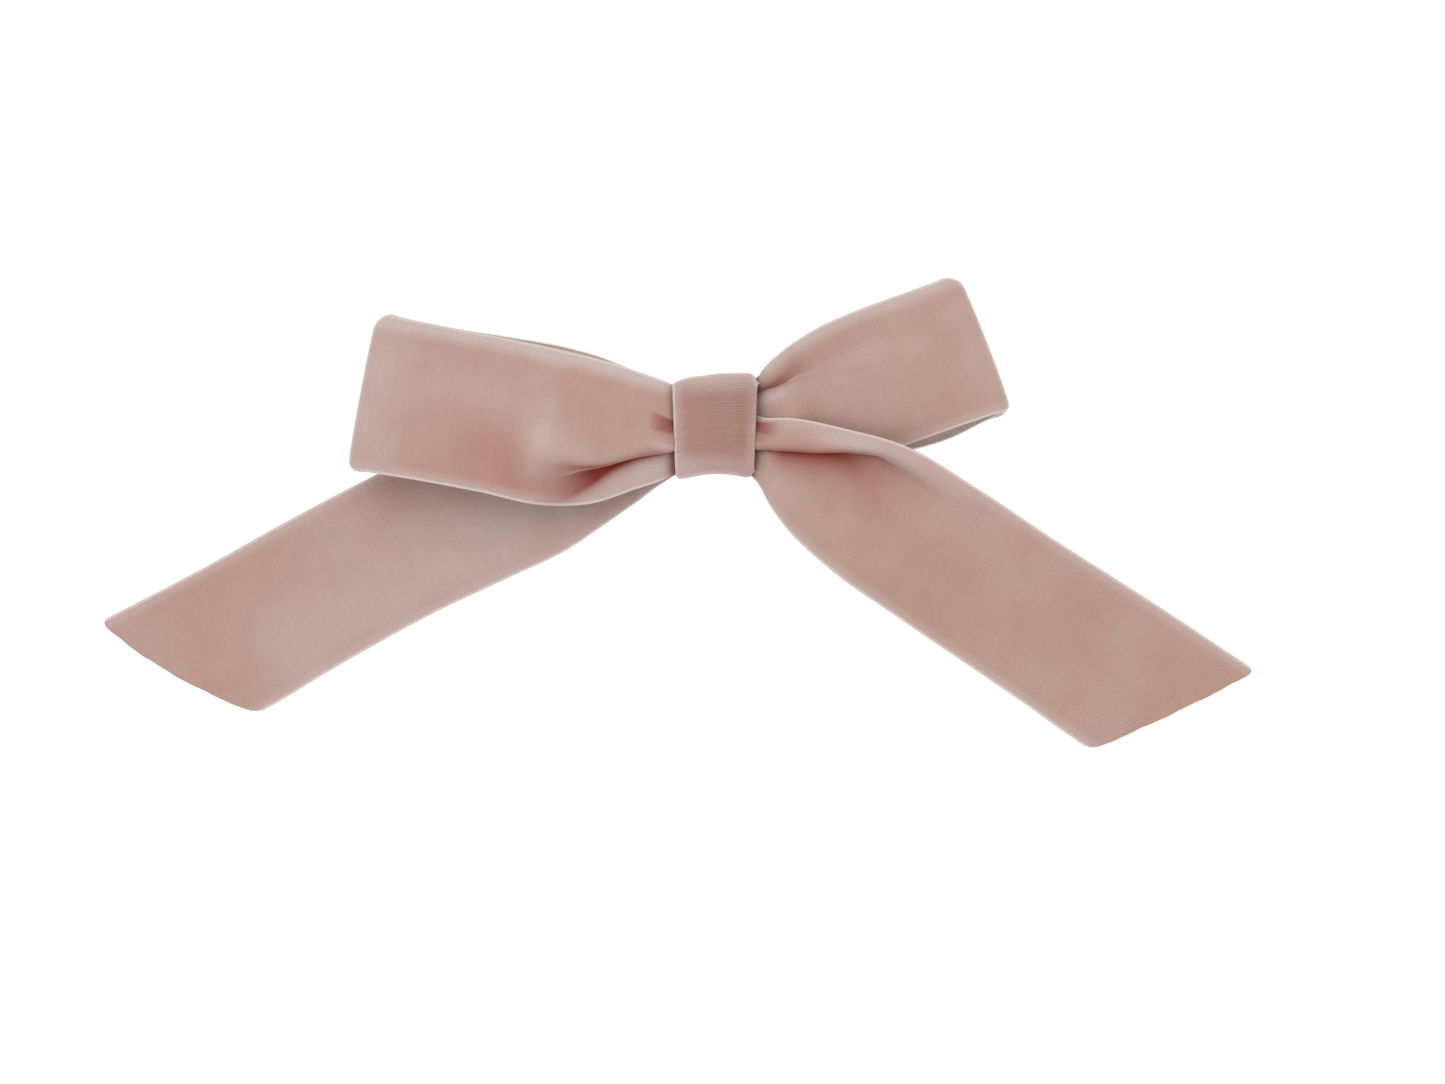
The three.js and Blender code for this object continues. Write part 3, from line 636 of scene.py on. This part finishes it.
FRONT_STRIP = Strip(
    stations=[
        (83.3, -51.7, -3.0, 34, 26.5),
        (66.3, -40.3, -7.6, 34, 26.0),
        (49.3, -29.2, -12.0, 34, 25.3),
        (35.9, -20.3, -15.0, 33, 25.0),
        (24.6, -13.2, -17.0, 29, 23.6),
        (16.4, -8.8, -17.7, 26, 19.0),
        (10.8, -5.7, -17.6, 15, 14.5),
        (7.4, -3.9, -17.0, 3, 10.8),
        (5.6, -2.6, -16.2, 1, 10.0),
        (0.0, 0.0, -16.15, 0, 11.4),
        (-5.6, -0.5, -16.4, 1, 12.8),
        (-7.2, -0.65, -17.1, 3, 14.7),
        (-12.8, -0.7, -17.4, 4, 18.8),
        (-19.6, -0.8, -17.5, 5, 23.4),
        (-26.3, -0.2, -17.4, 7, 25.4),
        (-38.0, 2.2, -17.2, 9, 25.6),
        (-49.0, 4.3, -16.5, 10, 25.8),
        *half_turn(-55.7, 5.5, -16.2, 10.7, 3.0, -1, 26.0),
        (-49.0, 4.6, -10.2, 10, 25.4),
        (-38.0, 3.0, -10.4, 9, 25.1),
        (-26.0, 1.45, -11.0, 7, 23.9),
        (-19.5, 0.8, -11.9, 5, 21.6),
        (-12.8, 0.1, -13.1, 3, 17.2),
        (-7.6, -0.3, -14.0, 1, 12.6),
        (-5.6, -0.3, -14.15, 1, 12.2),
        (0.0, 0.0, -14.15, 0, 11.4),
        (5.6, 0.2, -14.15, 0, 11.4),
    ],
    side=1.0,
    fold_y=-13.2,
    tail={"slant": 33.0, "corner": 1.6, "belly": 0.4},
    # In each stretch the patch list paints highlight (amount above 0) and red shade (below 0), partly
    # the nap's own tone; the top value paints a pale sheen along the top edge.
    stretches=[
        {
            "pleats": [TAIL_FLAP, crease(9.9, 24, 4.5, 1.0), crease(8.2, 12, 3.5, 0.5)],
            "dents": [(17.0, 3.5, 4.5, 2.0, 0.75), (23.0, 0.5, 5.0, 2.2, 0.5)],
            "nap_and_painted_light": [
                (5.0, -10.0, 8.0, 3.5, 0.4),
                (9.0, -6.0, 5.0, 3.0, 0.2),
                (18.0, 2.5, 4.5, 2.0, -0.22),
                (23.0, 0.5, 5.0, 2.0, -0.2),
                (28.0, -2.0, 6.0, 2.5, -0.15),
                (19.0, 10.2, 10.0, 1.4, 1.0),
            ],
            "painted_top_sheen": 0.1,
            "crown": 1.3,
            "crown_far": 0.15,
            "curl": 0.35,
        },
        {
            "pleats": [LOOP_FLAP, crease(5.0, 38, 5.0, 1.0)],
            "dents": [(28.0, -5.0, 6.0, 4.5, 0.45), (20.0, 0.0, 4.5, 8.0, -0.2)],
            "nap_and_painted_light": [
                (53.0, 0.0, 9.0, 16.0, 0.5),
                (22.0, -3.0, 3.0, 8.0, 0.7),
                (34.0, 3.0, 22.0, 9.0, 0.2),
                (11.0, -2.6, 5.0, 1.6, 0.55),
                (1.0, 1.6, 2.2, 0.7, 1.2),
                (5.0, -10.0, 11.0, 2.6, 0.75),
                (30.5, -5.0, 6.5, 4.6, -0.46),
                (25.0, -10.0, 9.0, 2.2, -0.35),
                (13.0, 4.0, 7.0, 5.0, -0.12),
            ],
            "painted_top_sheen": 1.0,
            "crown": 1.4,
            "crown_far": 0.2,
            "curl": 0.7,
        },
        {
            "pleats": [hidden_pleat(2.0, 4.0, 24.0, 1)],
            "dents": [],
            "nap_and_painted_light": [],
            "painted_top_sheen": 0.2,
            "crown": 0.8,
            "crown_far": 0.2,
            "curl": 0.4,
        },
    ],
    corners=(2.4, 1.2, (1.0, 0.0, -0.1)),
)

REAR_STRIP = Strip(
    stations=[
        (-98.0, -44.0, 0.9, -28, 26.0),
        (-80.0, -34.5, -2.3, -28, 25.6),
        (-66.9, -27.1, -4.6, -28, 25.3),
        (-53.6, -20.0, -6.4, -28, 25.0),
        (-40.3, -13.7, -7.5, -27, 25.0),
        (-31.0, -9.8, -8.2, -27, 24.0),
        (-24.0, -7.5, -8.8, -26, 20.2),
        (-16.6, -4.9, -9.9, -22, 16.2),
        (-11.0, -2.6, -11.2, -12, 14.0),
        (-6.2, -0.8, -12.15, -4, 13.0),
        (0.0, 0.0, -12.15, 0, 11.4),
        (5.6, 0.9, -13.2, -1, 13.8),
        (7.4, 2.0, -14.1, -3, 13.8),
        (11.6, 3.2, -14.2, -9, 17.6),
        (18.3, 5.1, -14.4, -14, 21.9),
        (26.5, 8.0, -14.2, -19, 23.4),
        (34.5, 10.9, -13.7, -21, 23.6),
        *half_turn(41.6, 13.4, -12.9, -21.4, 3.2, 1, 23.8, drop=0.6),
        (34.4, 9.8, -6.5, -21, 24.6),
        (26.4, 7.0, -6.8, -19, 23.4),
        (18.3, 4.6, -7.6, -14, 20.8),
        (11.6, 2.5, -9.0, -8, 17.4),
        (6.2, 0.6, -10.15, -2, 12.8),
        (0.0, 0.0, -10.15, 0, 11.4),
        (-5.6, -0.2, -10.15, 0, 11.4),
    ],
    side=-1.0,
    fold_y=-9.7,
    tail={"slant": 33.5, "corner": 1.6, "belly": 1.7},
    # In each stretch the patch list paints highlight (amount above 0) and red shade (below 0), partly
    # the nap's own tone; the top value paints a pale sheen along the top edge.
    stretches=[
        {
            "pleats": [hidden_pleat(2.0, 3.2, 22.0, -1)],
            "dents": [],
            "nap_and_painted_light": [(58.0, -5.0, 30.0, 12.0, 0.5), (19.0, 0.0, 15.0, 12.0, 0.5)],
            "painted_top_sheen": 0.1,
            "crown": 0.7,
            "crown_far": 0.1,
            "curl": 0.3,
        },
        {
            "pleats": [LOOP_VALLEY, hidden_pleat(-6.5, 1.2, 9.0, -1)],
            "dents": [(20.0, 3.0, 9.0, 4.0, -0.35)],
            "nap_and_painted_light": [
                (3.5, 4.0, 3.5, 1.5, 1.0),
                (18.0, 5.0, 8.0, 3.0, 0.3),
                (44.0, 4.0, 7.0, 12.0, 0.3),
            ],
            "painted_top_sheen": 0.6,
            "crown": 1.5,
            "crown_far": 0.25,
            "curl": 0.8,
        },
        {
            "pleats": [hidden_pleat(0.0, 4.0, 22.0, 1)],
            "dents": [],
            "nap_and_painted_light": [],
            "painted_top_sheen": 0.2,
            "crown": 0.6,
            "crown_far": 0.15,
            "curl": 0.4,
        },
    ],
    corners=(2.2, 1.3, (-0.93, 0.0, -0.36)),
)


def curve_points(start, parts, count=14):
    """A closed outline of lines and curves as close points: each part is its control points."""
    points = [np.array(start, float)]
    for part in parts:
        control = [points[-1]] + [np.array(p, float) for p in part]
        for i in range(1, count + 1):
            t = i / count
            level = list(control)
            while len(level) > 1:
                level = [a + (b - a) * t for a, b in zip(level[:-1], level[1:])]
            points.append(level[0])
    return np.array(points)


def band_surface(row_count, column_count):
    """The knot band, wound once round the waist and the bar and lapped on the lower slope behind."""
    low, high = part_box("knot_band")
    skew = 2 * BAND_EDGE * math.tan(math.radians(5.5))
    half = ((high.z - low.z) / MM - skew) / 2
    front, back = low.y / MM, high.y / MM
    behind, hip = half - 2.5, back - 3.85
    outline = curve_points(
        (front, half - 2.4),
        [
            [(front, 2.4 - half)],
            [(front, -half), (front + 3.36, -half)],
            [(hip, -half)],
            [(hip + 1.6, -half), (back, -behind - 0.6), (back, 1.2 - behind)],
            [(back, behind - 1.2)],
            [(back, behind + 0.6), (hip + 1.6, half), (hip, half)],
            [(front + 3.36, half)],
            [(front, half), (front, half - 2.4)],
        ],
    )
    gaps = np.linalg.norm(np.diff(outline, axis=0), axis=1)
    places = np.concatenate([[0.0], np.cumsum(gaps)])
    round_trip = places[-1]
    lap = 5.0
    start = places[np.argmin(np.abs(outline[:, 0] - (hip + 1.4)) + (outline[:, 1] > 0) * 99)]
    rows = np.linspace(0.0, round_trip + lap, row_count + 1)
    at = (start + rows) % round_trip
    y = np.interp(at, places, outline[:, 0])
    z = np.interp(at, places, outline[:, 1])
    step = 0.05
    run_y = np.interp((at + step) % round_trip, places, outline[:, 0]) - y
    run_z = np.interp((at + step) % round_trip, places, outline[:, 1]) - z
    size = np.hypot(run_y, run_z)
    inward_y, inward_z = -run_z / size, run_y / size
    turn = np.sign((0.0 - z) * inward_z + ((front + back) / 2 - y) * inward_y)
    inward_y, inward_z = inward_y * turn, inward_z * turn
    inset = 0.45 + 0.95 * (1.0 - smooth(rows, lap * 0.8, lap + 3.0))
    across = np.linspace(-BAND_EDGE, BAND_EDGE, column_count + 1)
    share = across / BAND_EDGE
    faced = smooth(-y, -(front + 3.5), -front)[:, None]
    curl = 0.40 * np.abs(share) ** 7 + 0.12 * share**2
    sag = 0.07 * np.sin(across * 1.3 + 0.6)[None, :] * np.cos(rows * 0.31)[:, None]
    deep = inset[:, None] + curl[None, :] + sag * (1.0 - share**4)[None, :]
    points_y = y[:, None] + inward_y[:, None] * deep
    points_z = z[:, None] + inward_z[:, None] * deep
    x = across[None, :] * 0.982 * (1.0 + 0.045 * points_z / 8.0) - 0.28 * faced
    rounded = smooth(share, 0.72, 1.0)[None, :] ** 2
    top = (8.65 + 0.089 * x - 0.008 * x**2 - 1.2 * rounded) / (half - 0.3)
    bottom = 7.35 - 0.05 * x + 1.5 * ((x + 0.6) / BAND_EDGE) ** 2 - 0.9 * rounded
    bottom = bottom / (half - 0.3)
    points_z = points_z * np.where(points_z > 0, top, bottom)
    points = np.stack([x, points_y, points_z], axis=-1)
    flat = np.stack(np.broadcast_arrays(rows[:, None], across[None, :]), axis=-1)
    right = smooth(share, 0.2, 1.0)[None, :] * faced
    # Painted light on the band: red shade over its right side and darker at its right edge, a faint
    # painted shade over its front, and pale painted highlights on its top and bottom slopes and its
    # left side.
    tones = {
        "fold": 0.10 * right + 0.05 * faced + 0.35 * smooth(share, 0.93, 0.99)[None, :] * faced,
        "cool": 0.75 * smooth(-points_z, 3.0, 7.5)
        + 0.75 * smooth(points_z, 4.5, 8.0)
        + 0.12 * (1.0 - smooth(share, -0.8, 0.2))[None, :],
        "warm": 0.12 * right * np.ones(x.shape),
    }
    return points, flat, tones, round_trip + lap


# Hard pieces -----------------------------------------------------------------------------------


def carried(node, name):
    """A merged copy of a CAD node, with whole faces, ready to be finished."""
    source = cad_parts[node]
    piece = bpy.data.objects.new(name, source.data.copy())
    bpy.context.scene.collection.objects.link(piece)
    choose(piece)
    bpy.ops.mesh.customdata_custom_splitnormals_clear()
    bpy.ops.object.mode_set(mode="EDIT")
    bpy.ops.mesh.select_all(action="SELECT")
    bpy.ops.mesh.remove_doubles(threshold=0.000002)
    bpy.ops.mesh.dissolve_limited(angle_limit=math.radians(0.6))
    bpy.ops.object.mode_set(mode="OBJECT")
    return piece


def round_edges(piece, width, segments=2):
    """Breaks the sharp edges, as tumbling after stamping does."""
    choose(piece)
    edge = piece.modifiers.new("edges", "BEVEL")
    edge.width = width
    edge.segments = segments
    edge.limit_method = "ANGLE"
    edge.angle_limit = math.radians(28.0)
    edge.use_clamp_overlap = True
    bpy.ops.object.modifier_apply(modifier=edge.name)
    bpy.ops.object.shade_smooth_by_angle(angle=math.radians(35.0))


def dress(piece, material, body, slot, *nodes):
    """Gives a finished piece its one material and its body, and hides the CAD nodes it stands for;
    slot is not used.
    """
    piece.data.materials.clear()
    piece.data.materials.append(material)
    place(piece, body, slot, *nodes)


def place(piece, body, slot, *nodes):
    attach(piece, body)
    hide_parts(*nodes)


def keep_within(piece, node, room):
    """Stops the script if a piece strays from its CAD node by more than a few millimetres."""
    low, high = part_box(node)
    corners = [Vector(c) for c in piece.bound_box]
    for axis in range(3):
        over = max(
            low[axis] - min(c[axis] for c in corners), max(c[axis] for c in corners) - high[axis]
        )
        if over > room:
            raise RuntimeError(f"{piece.name} is {over * 1000:.1f} mm outside {node}")


# Settings --------------------------------------------------------------------------------------


def colour_setting(name, words, value):
    return bpy.props.FloatVectorProperty(
        name=name, description=words, default=value, size=3, min=0.0, max=1.0, subtype="COLOR"
    )


class BarretteCloth(bpy.types.PropertyGroup):
    pile: colour_setting("Pile", "Colour of the velvet pile", (0.352, 0.222, 0.183))
    # Pale pile colour, for painted highlights and sheen and for the pile's pale nap.
    pile_cool: colour_setting("Pile, pale", "Pile that leans away", (0.420, 0.335, 0.312))
    # Warm red pile colour, for painted shade and for the pile's red nap.
    pile_warm: colour_setting("Pile, warm", "Pile that stands up", (0.330, 0.138, 0.106))
    band_pile: colour_setting("Band pile", "Pile pulled tight round the knot", (0.300, 0.170, 0.140))
    selvedge: colour_setting("Selvedge", "Woven edge threads", (0.480, 0.410, 0.375))
    # Deep red painted shade, used inside folds and beside the band.
    crease: colour_setting("Crease", "Pile pressed inside a fold", (0.190, 0.022, 0.010))
    reverse: colour_setting("Reverse", "Back of the ribbon", (0.640, 0.500, 0.440))
    reverse_dark: colour_setting("Reverse, grooves", "Between its ribs", (0.470, 0.340, 0.290))
    sheen_tint: colour_setting("Sheen", "Colour of the pile's sheen", (1.000, 0.900, 0.860))
    sheen: bpy.props.FloatProperty(
        name="Sheen amount",
        description="How much the pile lights up at its edges",
        default=0.6,
        min=0.0,
        max=1.0,
        subtype="FACTOR",
    )
    thickness: bpy.props.FloatProperty(
        name="Ribbon thickness",
        description="Velvet ribbon with its pile",
        default=0.00075,
        min=0.0003,
        max=0.002,
        subtype="DISTANCE",
        unit="LENGTH",
        precision=5,
    )
    rib_pitch: bpy.props.FloatProperty(
        name="Weft rib pitch",
        description="Distance between the ribs that show where the pile is worn",
        default=0.00034,
        min=0.0001,
        max=0.002,
        subtype="DISTANCE",
        unit="LENGTH",
        precision=5,
    )


class BarretteClip(bpy.types.PropertyGroup):
    nickel: colour_setting("Nickel", "Plated bar, arm and catch", (0.700, 0.690, 0.670))
    spring: colour_setting("Spring steel", "Tension bow and catch wings", (0.590, 0.595, 0.610))
    nickel_roughness: bpy.props.FloatProperty(
        name="Nickel roughness",
        description="Polish of the plated pieces",
        default=0.17,
        min=0.0,
        max=1.0,
        subtype="FACTOR",
    )
    spring_roughness: bpy.props.FloatProperty(
        name="Spring roughness",
        description="Polish of the sprung pieces",
        default=0.28,
        min=0.0,
        max=1.0,
        subtype="FACTOR",
    )
    edge_round: bpy.props.FloatProperty(
        name="Edge rounding",
        description="Width of the broken edges",
        default=0.00012,
        min=0.00002,
        max=0.0004,
        subtype="DISTANCE",
        unit="LENGTH",
        precision=5,
    )


class BarretteStudio(bpy.types.PropertyGroup):
    floor: colour_setting("Floor", "Pale studio floor", (0.86, 0.86, 0.86))
    surround: bpy.props.FloatProperty(
        name="Surround",
        description="Strength of the white light from all round",
        default=1.0,
        min=0.0,
        max=4.0,
    )
    key: bpy.props.FloatProperty(
        name="Key light",
        description="Power of the soft light above and in front",
        default=3.5,
        min=0.0,
        max=100.0,
        subtype="POWER",
        unit="POWER",
    )
    distance: bpy.props.FloatProperty(
        name="Camera distance",
        description="From the bow's front to the camera",
        default=0.9,
        min=0.3,
        max=5.0,
        subtype="DISTANCE",
        unit="LENGTH",
    )
    view_width: bpy.props.FloatProperty(
        name="View width",
        description="Width that the picture takes in at the bow",
        default=0.2408,
        min=0.1,
        max=1.0,
        subtype="DISTANCE",
        unit="LENGTH",
    )


# Operators -------------------------------------------------------------------------------------


def ribbon_materials(scene):
    """The velvet face, the ribbed reverse and the selvedge, made once and shared."""
    look = scene.barrette_cloth
    names = ("velvet_pile", "velvet_reverse", "velvet_selvedge")
    found = [bpy.data.materials.get(name) for name in names]
    if all(found):
        return found
    return [
        velvet_material(names[0], look, look.pile, HALF_WIDTH, look.rib_pitch, 0.7),
        reverse_material(names[1], look),
        selvedge_material(names[2], look),
    ]


def build_ribbon(scene, strip, name, node):
    points, places, tones = strip.surface(300, 136)
    piece = sheet_mesh(
        name,
        points,
        places,
        tones,
        strip.side > 0,
        scene.barrette_cloth.thickness / MM,
        ribbon_materials(scene),
    )
    keep_within(piece, node, 0.006)
    place(piece, "bow", "velvet", node)
    return piece


class BARRETTE_OT_front_ribbon(bpy.types.Operator):
    """Folds the ribbon that makes the left loop and the right tail"""

    bl_idname = "barrette.front_ribbon"
    bl_label = "Front Ribbon"

    def execute(self, context):
        build_ribbon(
            context.scene, FRONT_STRIP, "ribbon_front", "front_ribbon"
        )
        return {"FINISHED"}


class BARRETTE_OT_rear_ribbon(bpy.types.Operator):
    """Folds the ribbon that makes the right loop and the left tail"""

    bl_idname = "barrette.rear_ribbon"
    bl_label = "Rear Ribbon"

    def execute(self, context):
        build_ribbon(context.scene, REAR_STRIP, "ribbon_rear", "rear_ribbon")
        return {"FINISHED"}


class BARRETTE_OT_knot_band(bpy.types.Operator):
    """Wraps the short cross piece of ribbon round the waist and the bar"""

    bl_idname = "barrette.knot_band"
    bl_label = "Knot Band"

    def execute(self, context):
        look = context.scene.barrette_cloth
        points, flat, tones, length = band_surface(240, 64)
        pile, reverse, selvedge = ribbon_materials(context.scene)
        band_pile = velvet_material(
            "velvet_band", look, look.band_pile, BAND_EDGE, 1.25 * look.rib_pitch, 5.5
        )
        piece = sheet_mesh(
            "band_knot", points, flat, tones, False, 0.8, [band_pile, reverse, selvedge]
        )
        keep_within(piece, "knot_band", 0.002)
        place(piece, "bow", "velvet", "knot_band")
        length * MM
        return {"FINISHED"}


class BARRETTE_OT_binding(bpy.types.Operator):
    """Winds the thread round the gathered waist and lays the glue under the band"""

    bl_idname = "barrette.binding"
    bl_label = "Thread and Glue"

    def execute(self, context):
        look = context.scene.barrette_cloth
        thread = carried("waist_thread", "thread_wound")
        low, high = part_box("waist_thread")
        turns = 6
        pitch = (high.x - low.x) / turns
        bpy.ops.object.mode_set(mode="EDIT")
        for i in range(1, 2 * turns):
            bpy.ops.mesh.select_all(action="SELECT")
            bpy.ops.mesh.bisect(
                plane_co=(low.x + i * pitch / 2, 0.0, 0.0), plane_no=(1.0, 0.0, 0.0)
            )
        bpy.ops.mesh.select_all(action="DESELECT")
        bpy.ops.object.mode_set(mode="OBJECT")
        middle_y, middle_z = (low.y + high.y) / 2, (low.z + high.z) / 2
        for vertex in thread.data.vertices:
            turn = (vertex.co.x - low.x) / pitch
            groove = abs(turn - round(turn)) < 0.1
            vertex.select = groove
        bpy.ops.object.mode_set(mode="EDIT")
        bpy.ops.transform.resize(
            value=(1.0, 0.965, 0.975), center_override=(0.0, middle_y, middle_z)
        )
        bpy.ops.object.mode_set(mode="OBJECT")
        bpy.ops.object.shade_smooth_by_angle(angle=math.radians(60.0))
        dress(thread, thread_material("sewing_thread", look), "bow", "thread", "waist_thread")

        glue = carried("glue_pad", "glue_bead")
        bpy.ops.object.mode_set(mode="EDIT")
        bpy.ops.mesh.select_all(action="SELECT")
        bpy.ops.mesh.bevel(offset=0.00042, segments=3, affect="EDGES")
        bpy.ops.object.mode_set(mode="OBJECT")
        bpy.ops.object.shade_smooth_by_angle(angle=math.radians(60.0))
        dress(glue, glue_material("hot_glue"), "bow", "glue", "glue_pad")
        return {"FINISHED"}


class BARRETTE_OT_clip_bar(bpy.types.Operator):
    """Finishes the arched top bar and its hinge pin"""

    bl_idname = "barrette.clip_bar"
    bl_label = "Top Bar and Pin"

    def execute(self, context):
        look = context.scene.barrette_clip
        nickel = metal_material("nickel_plate", look.nickel, look.nickel_roughness, 0.25)
        for node, name in (("top_bar", "clip_bar"), ("hinge_pin", "clip_pin")):
            piece = carried(node, name)
            round_edges(piece, look.edge_round)
            dress(piece, nickel, "bow", "nickel_plate", node)
        return {"FINISHED"}


class BARRETTE_OT_clip_arm(bpy.types.Operator):
    """Finishes the hinged closing arm"""

    bl_idname = "barrette.clip_arm"
    bl_label = "Closing Arm"

    def execute(self, context):
        look = context.scene.barrette_clip
        piece = carried("closing_arm", "clip_arm")
        round_edges(piece, look.edge_round)
        dress(piece, bpy.data.materials["nickel_plate"], "arm", "nickel_plate", "closing_arm")
        return {"FINISHED"}


class BARRETTE_OT_clip_springs(bpy.types.Operator):
    """Finishes the tension bow, the catch base, its rivet and its two sprung wings"""

    bl_idname = "barrette.clip_springs"
    bl_label = "Tension Bow and Catch"

    def execute(self, context):
        look = context.scene.barrette_clip
        nickel = bpy.data.materials["nickel_plate"]
        steel = metal_material("spring_steel", look.spring, look.spring_roughness, 0.35)
        pieces = (
            ("tension_bow", "clip_tension_bow", "bow", steel, "spring_steel"),
            ("catch_base", "catch_base_plate", "bow", nickel, "nickel_plate"),
            ("catch_rivet", "catch_rivet_head", "bow", nickel, "nickel_plate"),
            ("catch_wing_upper", "catch_wing_top", "wing_upper", steel, "spring_steel"),
            ("catch_wing_lower", "catch_wing_bottom", "wing_lower", steel, "spring_steel"),
        )
        for node, name, body, material, slot in pieces:
            piece = carried(node, name)
            round_edges(piece, look.edge_round * 0.75)
            dress(piece, material, body, slot, node)
        return {"FINISHED"}


class BARRETTE_OT_studio(bpy.types.Operator):
    """Sets up the pale floor, the soft lights and the camera"""

    bl_idname = "barrette.studio"
    bl_label = "Studio"

    def execute(self, context):
        look = context.scene.barrette_studio
        scene = context.scene
        bpy.ops.mesh.primitive_circle_add(
            vertices=96, radius=0.9, fill_type="NGON", location=(0.0, 0.0, -0.25)
        )
        floor = context.active_object
        floor.name = "studio_floor"
        floor.data.materials.append(paper_material("studio_paper", look.floor))

        world = bpy.data.worlds.new("studio_surround")
        world.use_nodes = True
        tree = world.node_tree
        sky = Wire(tree)
        direction = sky.make("ShaderNodeTexCoord", {}, output="Generated")
        height = Wire(
            tree, direction.make("ShaderNodeSeparateXYZ", {"Vector": direction}).socket.node.outputs[2]
        )
        seen = sky.make("ShaderNodeLightPath", {}, output="Is Camera Ray")
        level = height.step(-0.9, 0.9) * (0.42 * look.surround) + 0.79 * look.surround
        background = tree.nodes["Background"]
        background.inputs["Color"].default_value = (1.0, 1.0, 1.0, 1.0)
        tree.links.new((seen + (1 - seen) * level).socket, background.inputs["Strength"])
        scene.world = world

        aim = Vector((0.001, -0.012, -0.019))
        for name, place_at, size, power in (
            ("key", (-0.20, -0.95, 0.55), 0.8, look.key),
            ("fill", (0.55, -0.9, 0.0), 0.9, look.key * 0.3),
            ("back", (0.3, 0.9, 0.5), 0.5, look.key * 0.6),
        ):
            lamp = bpy.data.lights.new(name, "AREA")
            lamp.energy = power
            lamp.size = size
            light = bpy.data.objects.new(name, lamp)
            scene.collection.objects.link(light)
            light.location = place_at
            light.rotation_euler = (aim - light.location).to_track_quat("-Z", "Y").to_euler()

        lens = bpy.data.cameras.new("camera")
        lens.sensor_width = 36.0
        lens.lens = 36.0 * look.distance / look.view_width
        lens.clip_start = 0.01
        camera = bpy.data.objects.new("camera", lens)
        scene.collection.objects.link(camera)
        camera.location = aim - Vector((0.0, look.distance, 0.0))
        camera.rotation_euler = (math.pi / 2, 0.0, 0.0)
        scene.camera = camera
        scene.view_settings.view_transform = "Standard"
        return {"FINISHED"}


class BARRETTE_PT_panel(bpy.types.Panel):
    """Steps of the barrette, in the order they are built"""

    bl_idname = "BARRETTE_PT_panel"
    bl_label = "Velvet Bow Barrette"
    bl_space_type = "VIEW_3D"
    bl_region_type = "UI"
    bl_category = "Barrette"

    def draw(self, context):
        layout = self.layout
        for operator in OPERATORS:
            layout.operator(operator.bl_idname, text=operator.bl_label)
        for group in (
            context.scene.barrette_cloth,
            context.scene.barrette_clip,
            context.scene.barrette_studio,
        ):
            box = layout.box()
            for name in group.__annotations__:
                box.prop(group, name)


OPERATORS = (
    BARRETTE_OT_front_ribbon,
    BARRETTE_OT_rear_ribbon,
    BARRETTE_OT_knot_band,
    BARRETTE_OT_binding,
    BARRETTE_OT_clip_bar,
    BARRETTE_OT_clip_arm,
    BARRETTE_OT_clip_springs,
    BARRETTE_OT_studio,
)
GROUPS = (BarretteCloth, BarretteClip, BarretteStudio)


def register():
    for item in GROUPS + OPERATORS + (BARRETTE_PT_panel,):
        bpy.utils.register_class(item)
    bpy.types.Scene.barrette_cloth = bpy.props.PointerProperty(type=BarretteCloth)
    bpy.types.Scene.barrette_clip = bpy.props.PointerProperty(type=BarretteClip)
    bpy.types.Scene.barrette_studio = bpy.props.PointerProperty(type=BarretteStudio)


def unregister():
    del bpy.types.Scene.barrette_studio
    del bpy.types.Scene.barrette_clip
    del bpy.types.Scene.barrette_cloth
    for item in reversed(GROUPS + OPERATORS + (BARRETTE_PT_panel,)):
        bpy.utils.unregister_class(item)


def main():
    register()
    bpy.ops.barrette.front_ribbon()
    bpy.ops.barrette.rear_ribbon()
    bpy.ops.barrette.knot_band()
    bpy.ops.barrette.binding()
    bpy.ops.barrette.clip_bar()
    bpy.ops.barrette.clip_arm()
    bpy.ops.barrette.clip_springs()
    bpy.ops.barrette.studio()


if __name__ == "__main__":
    main()
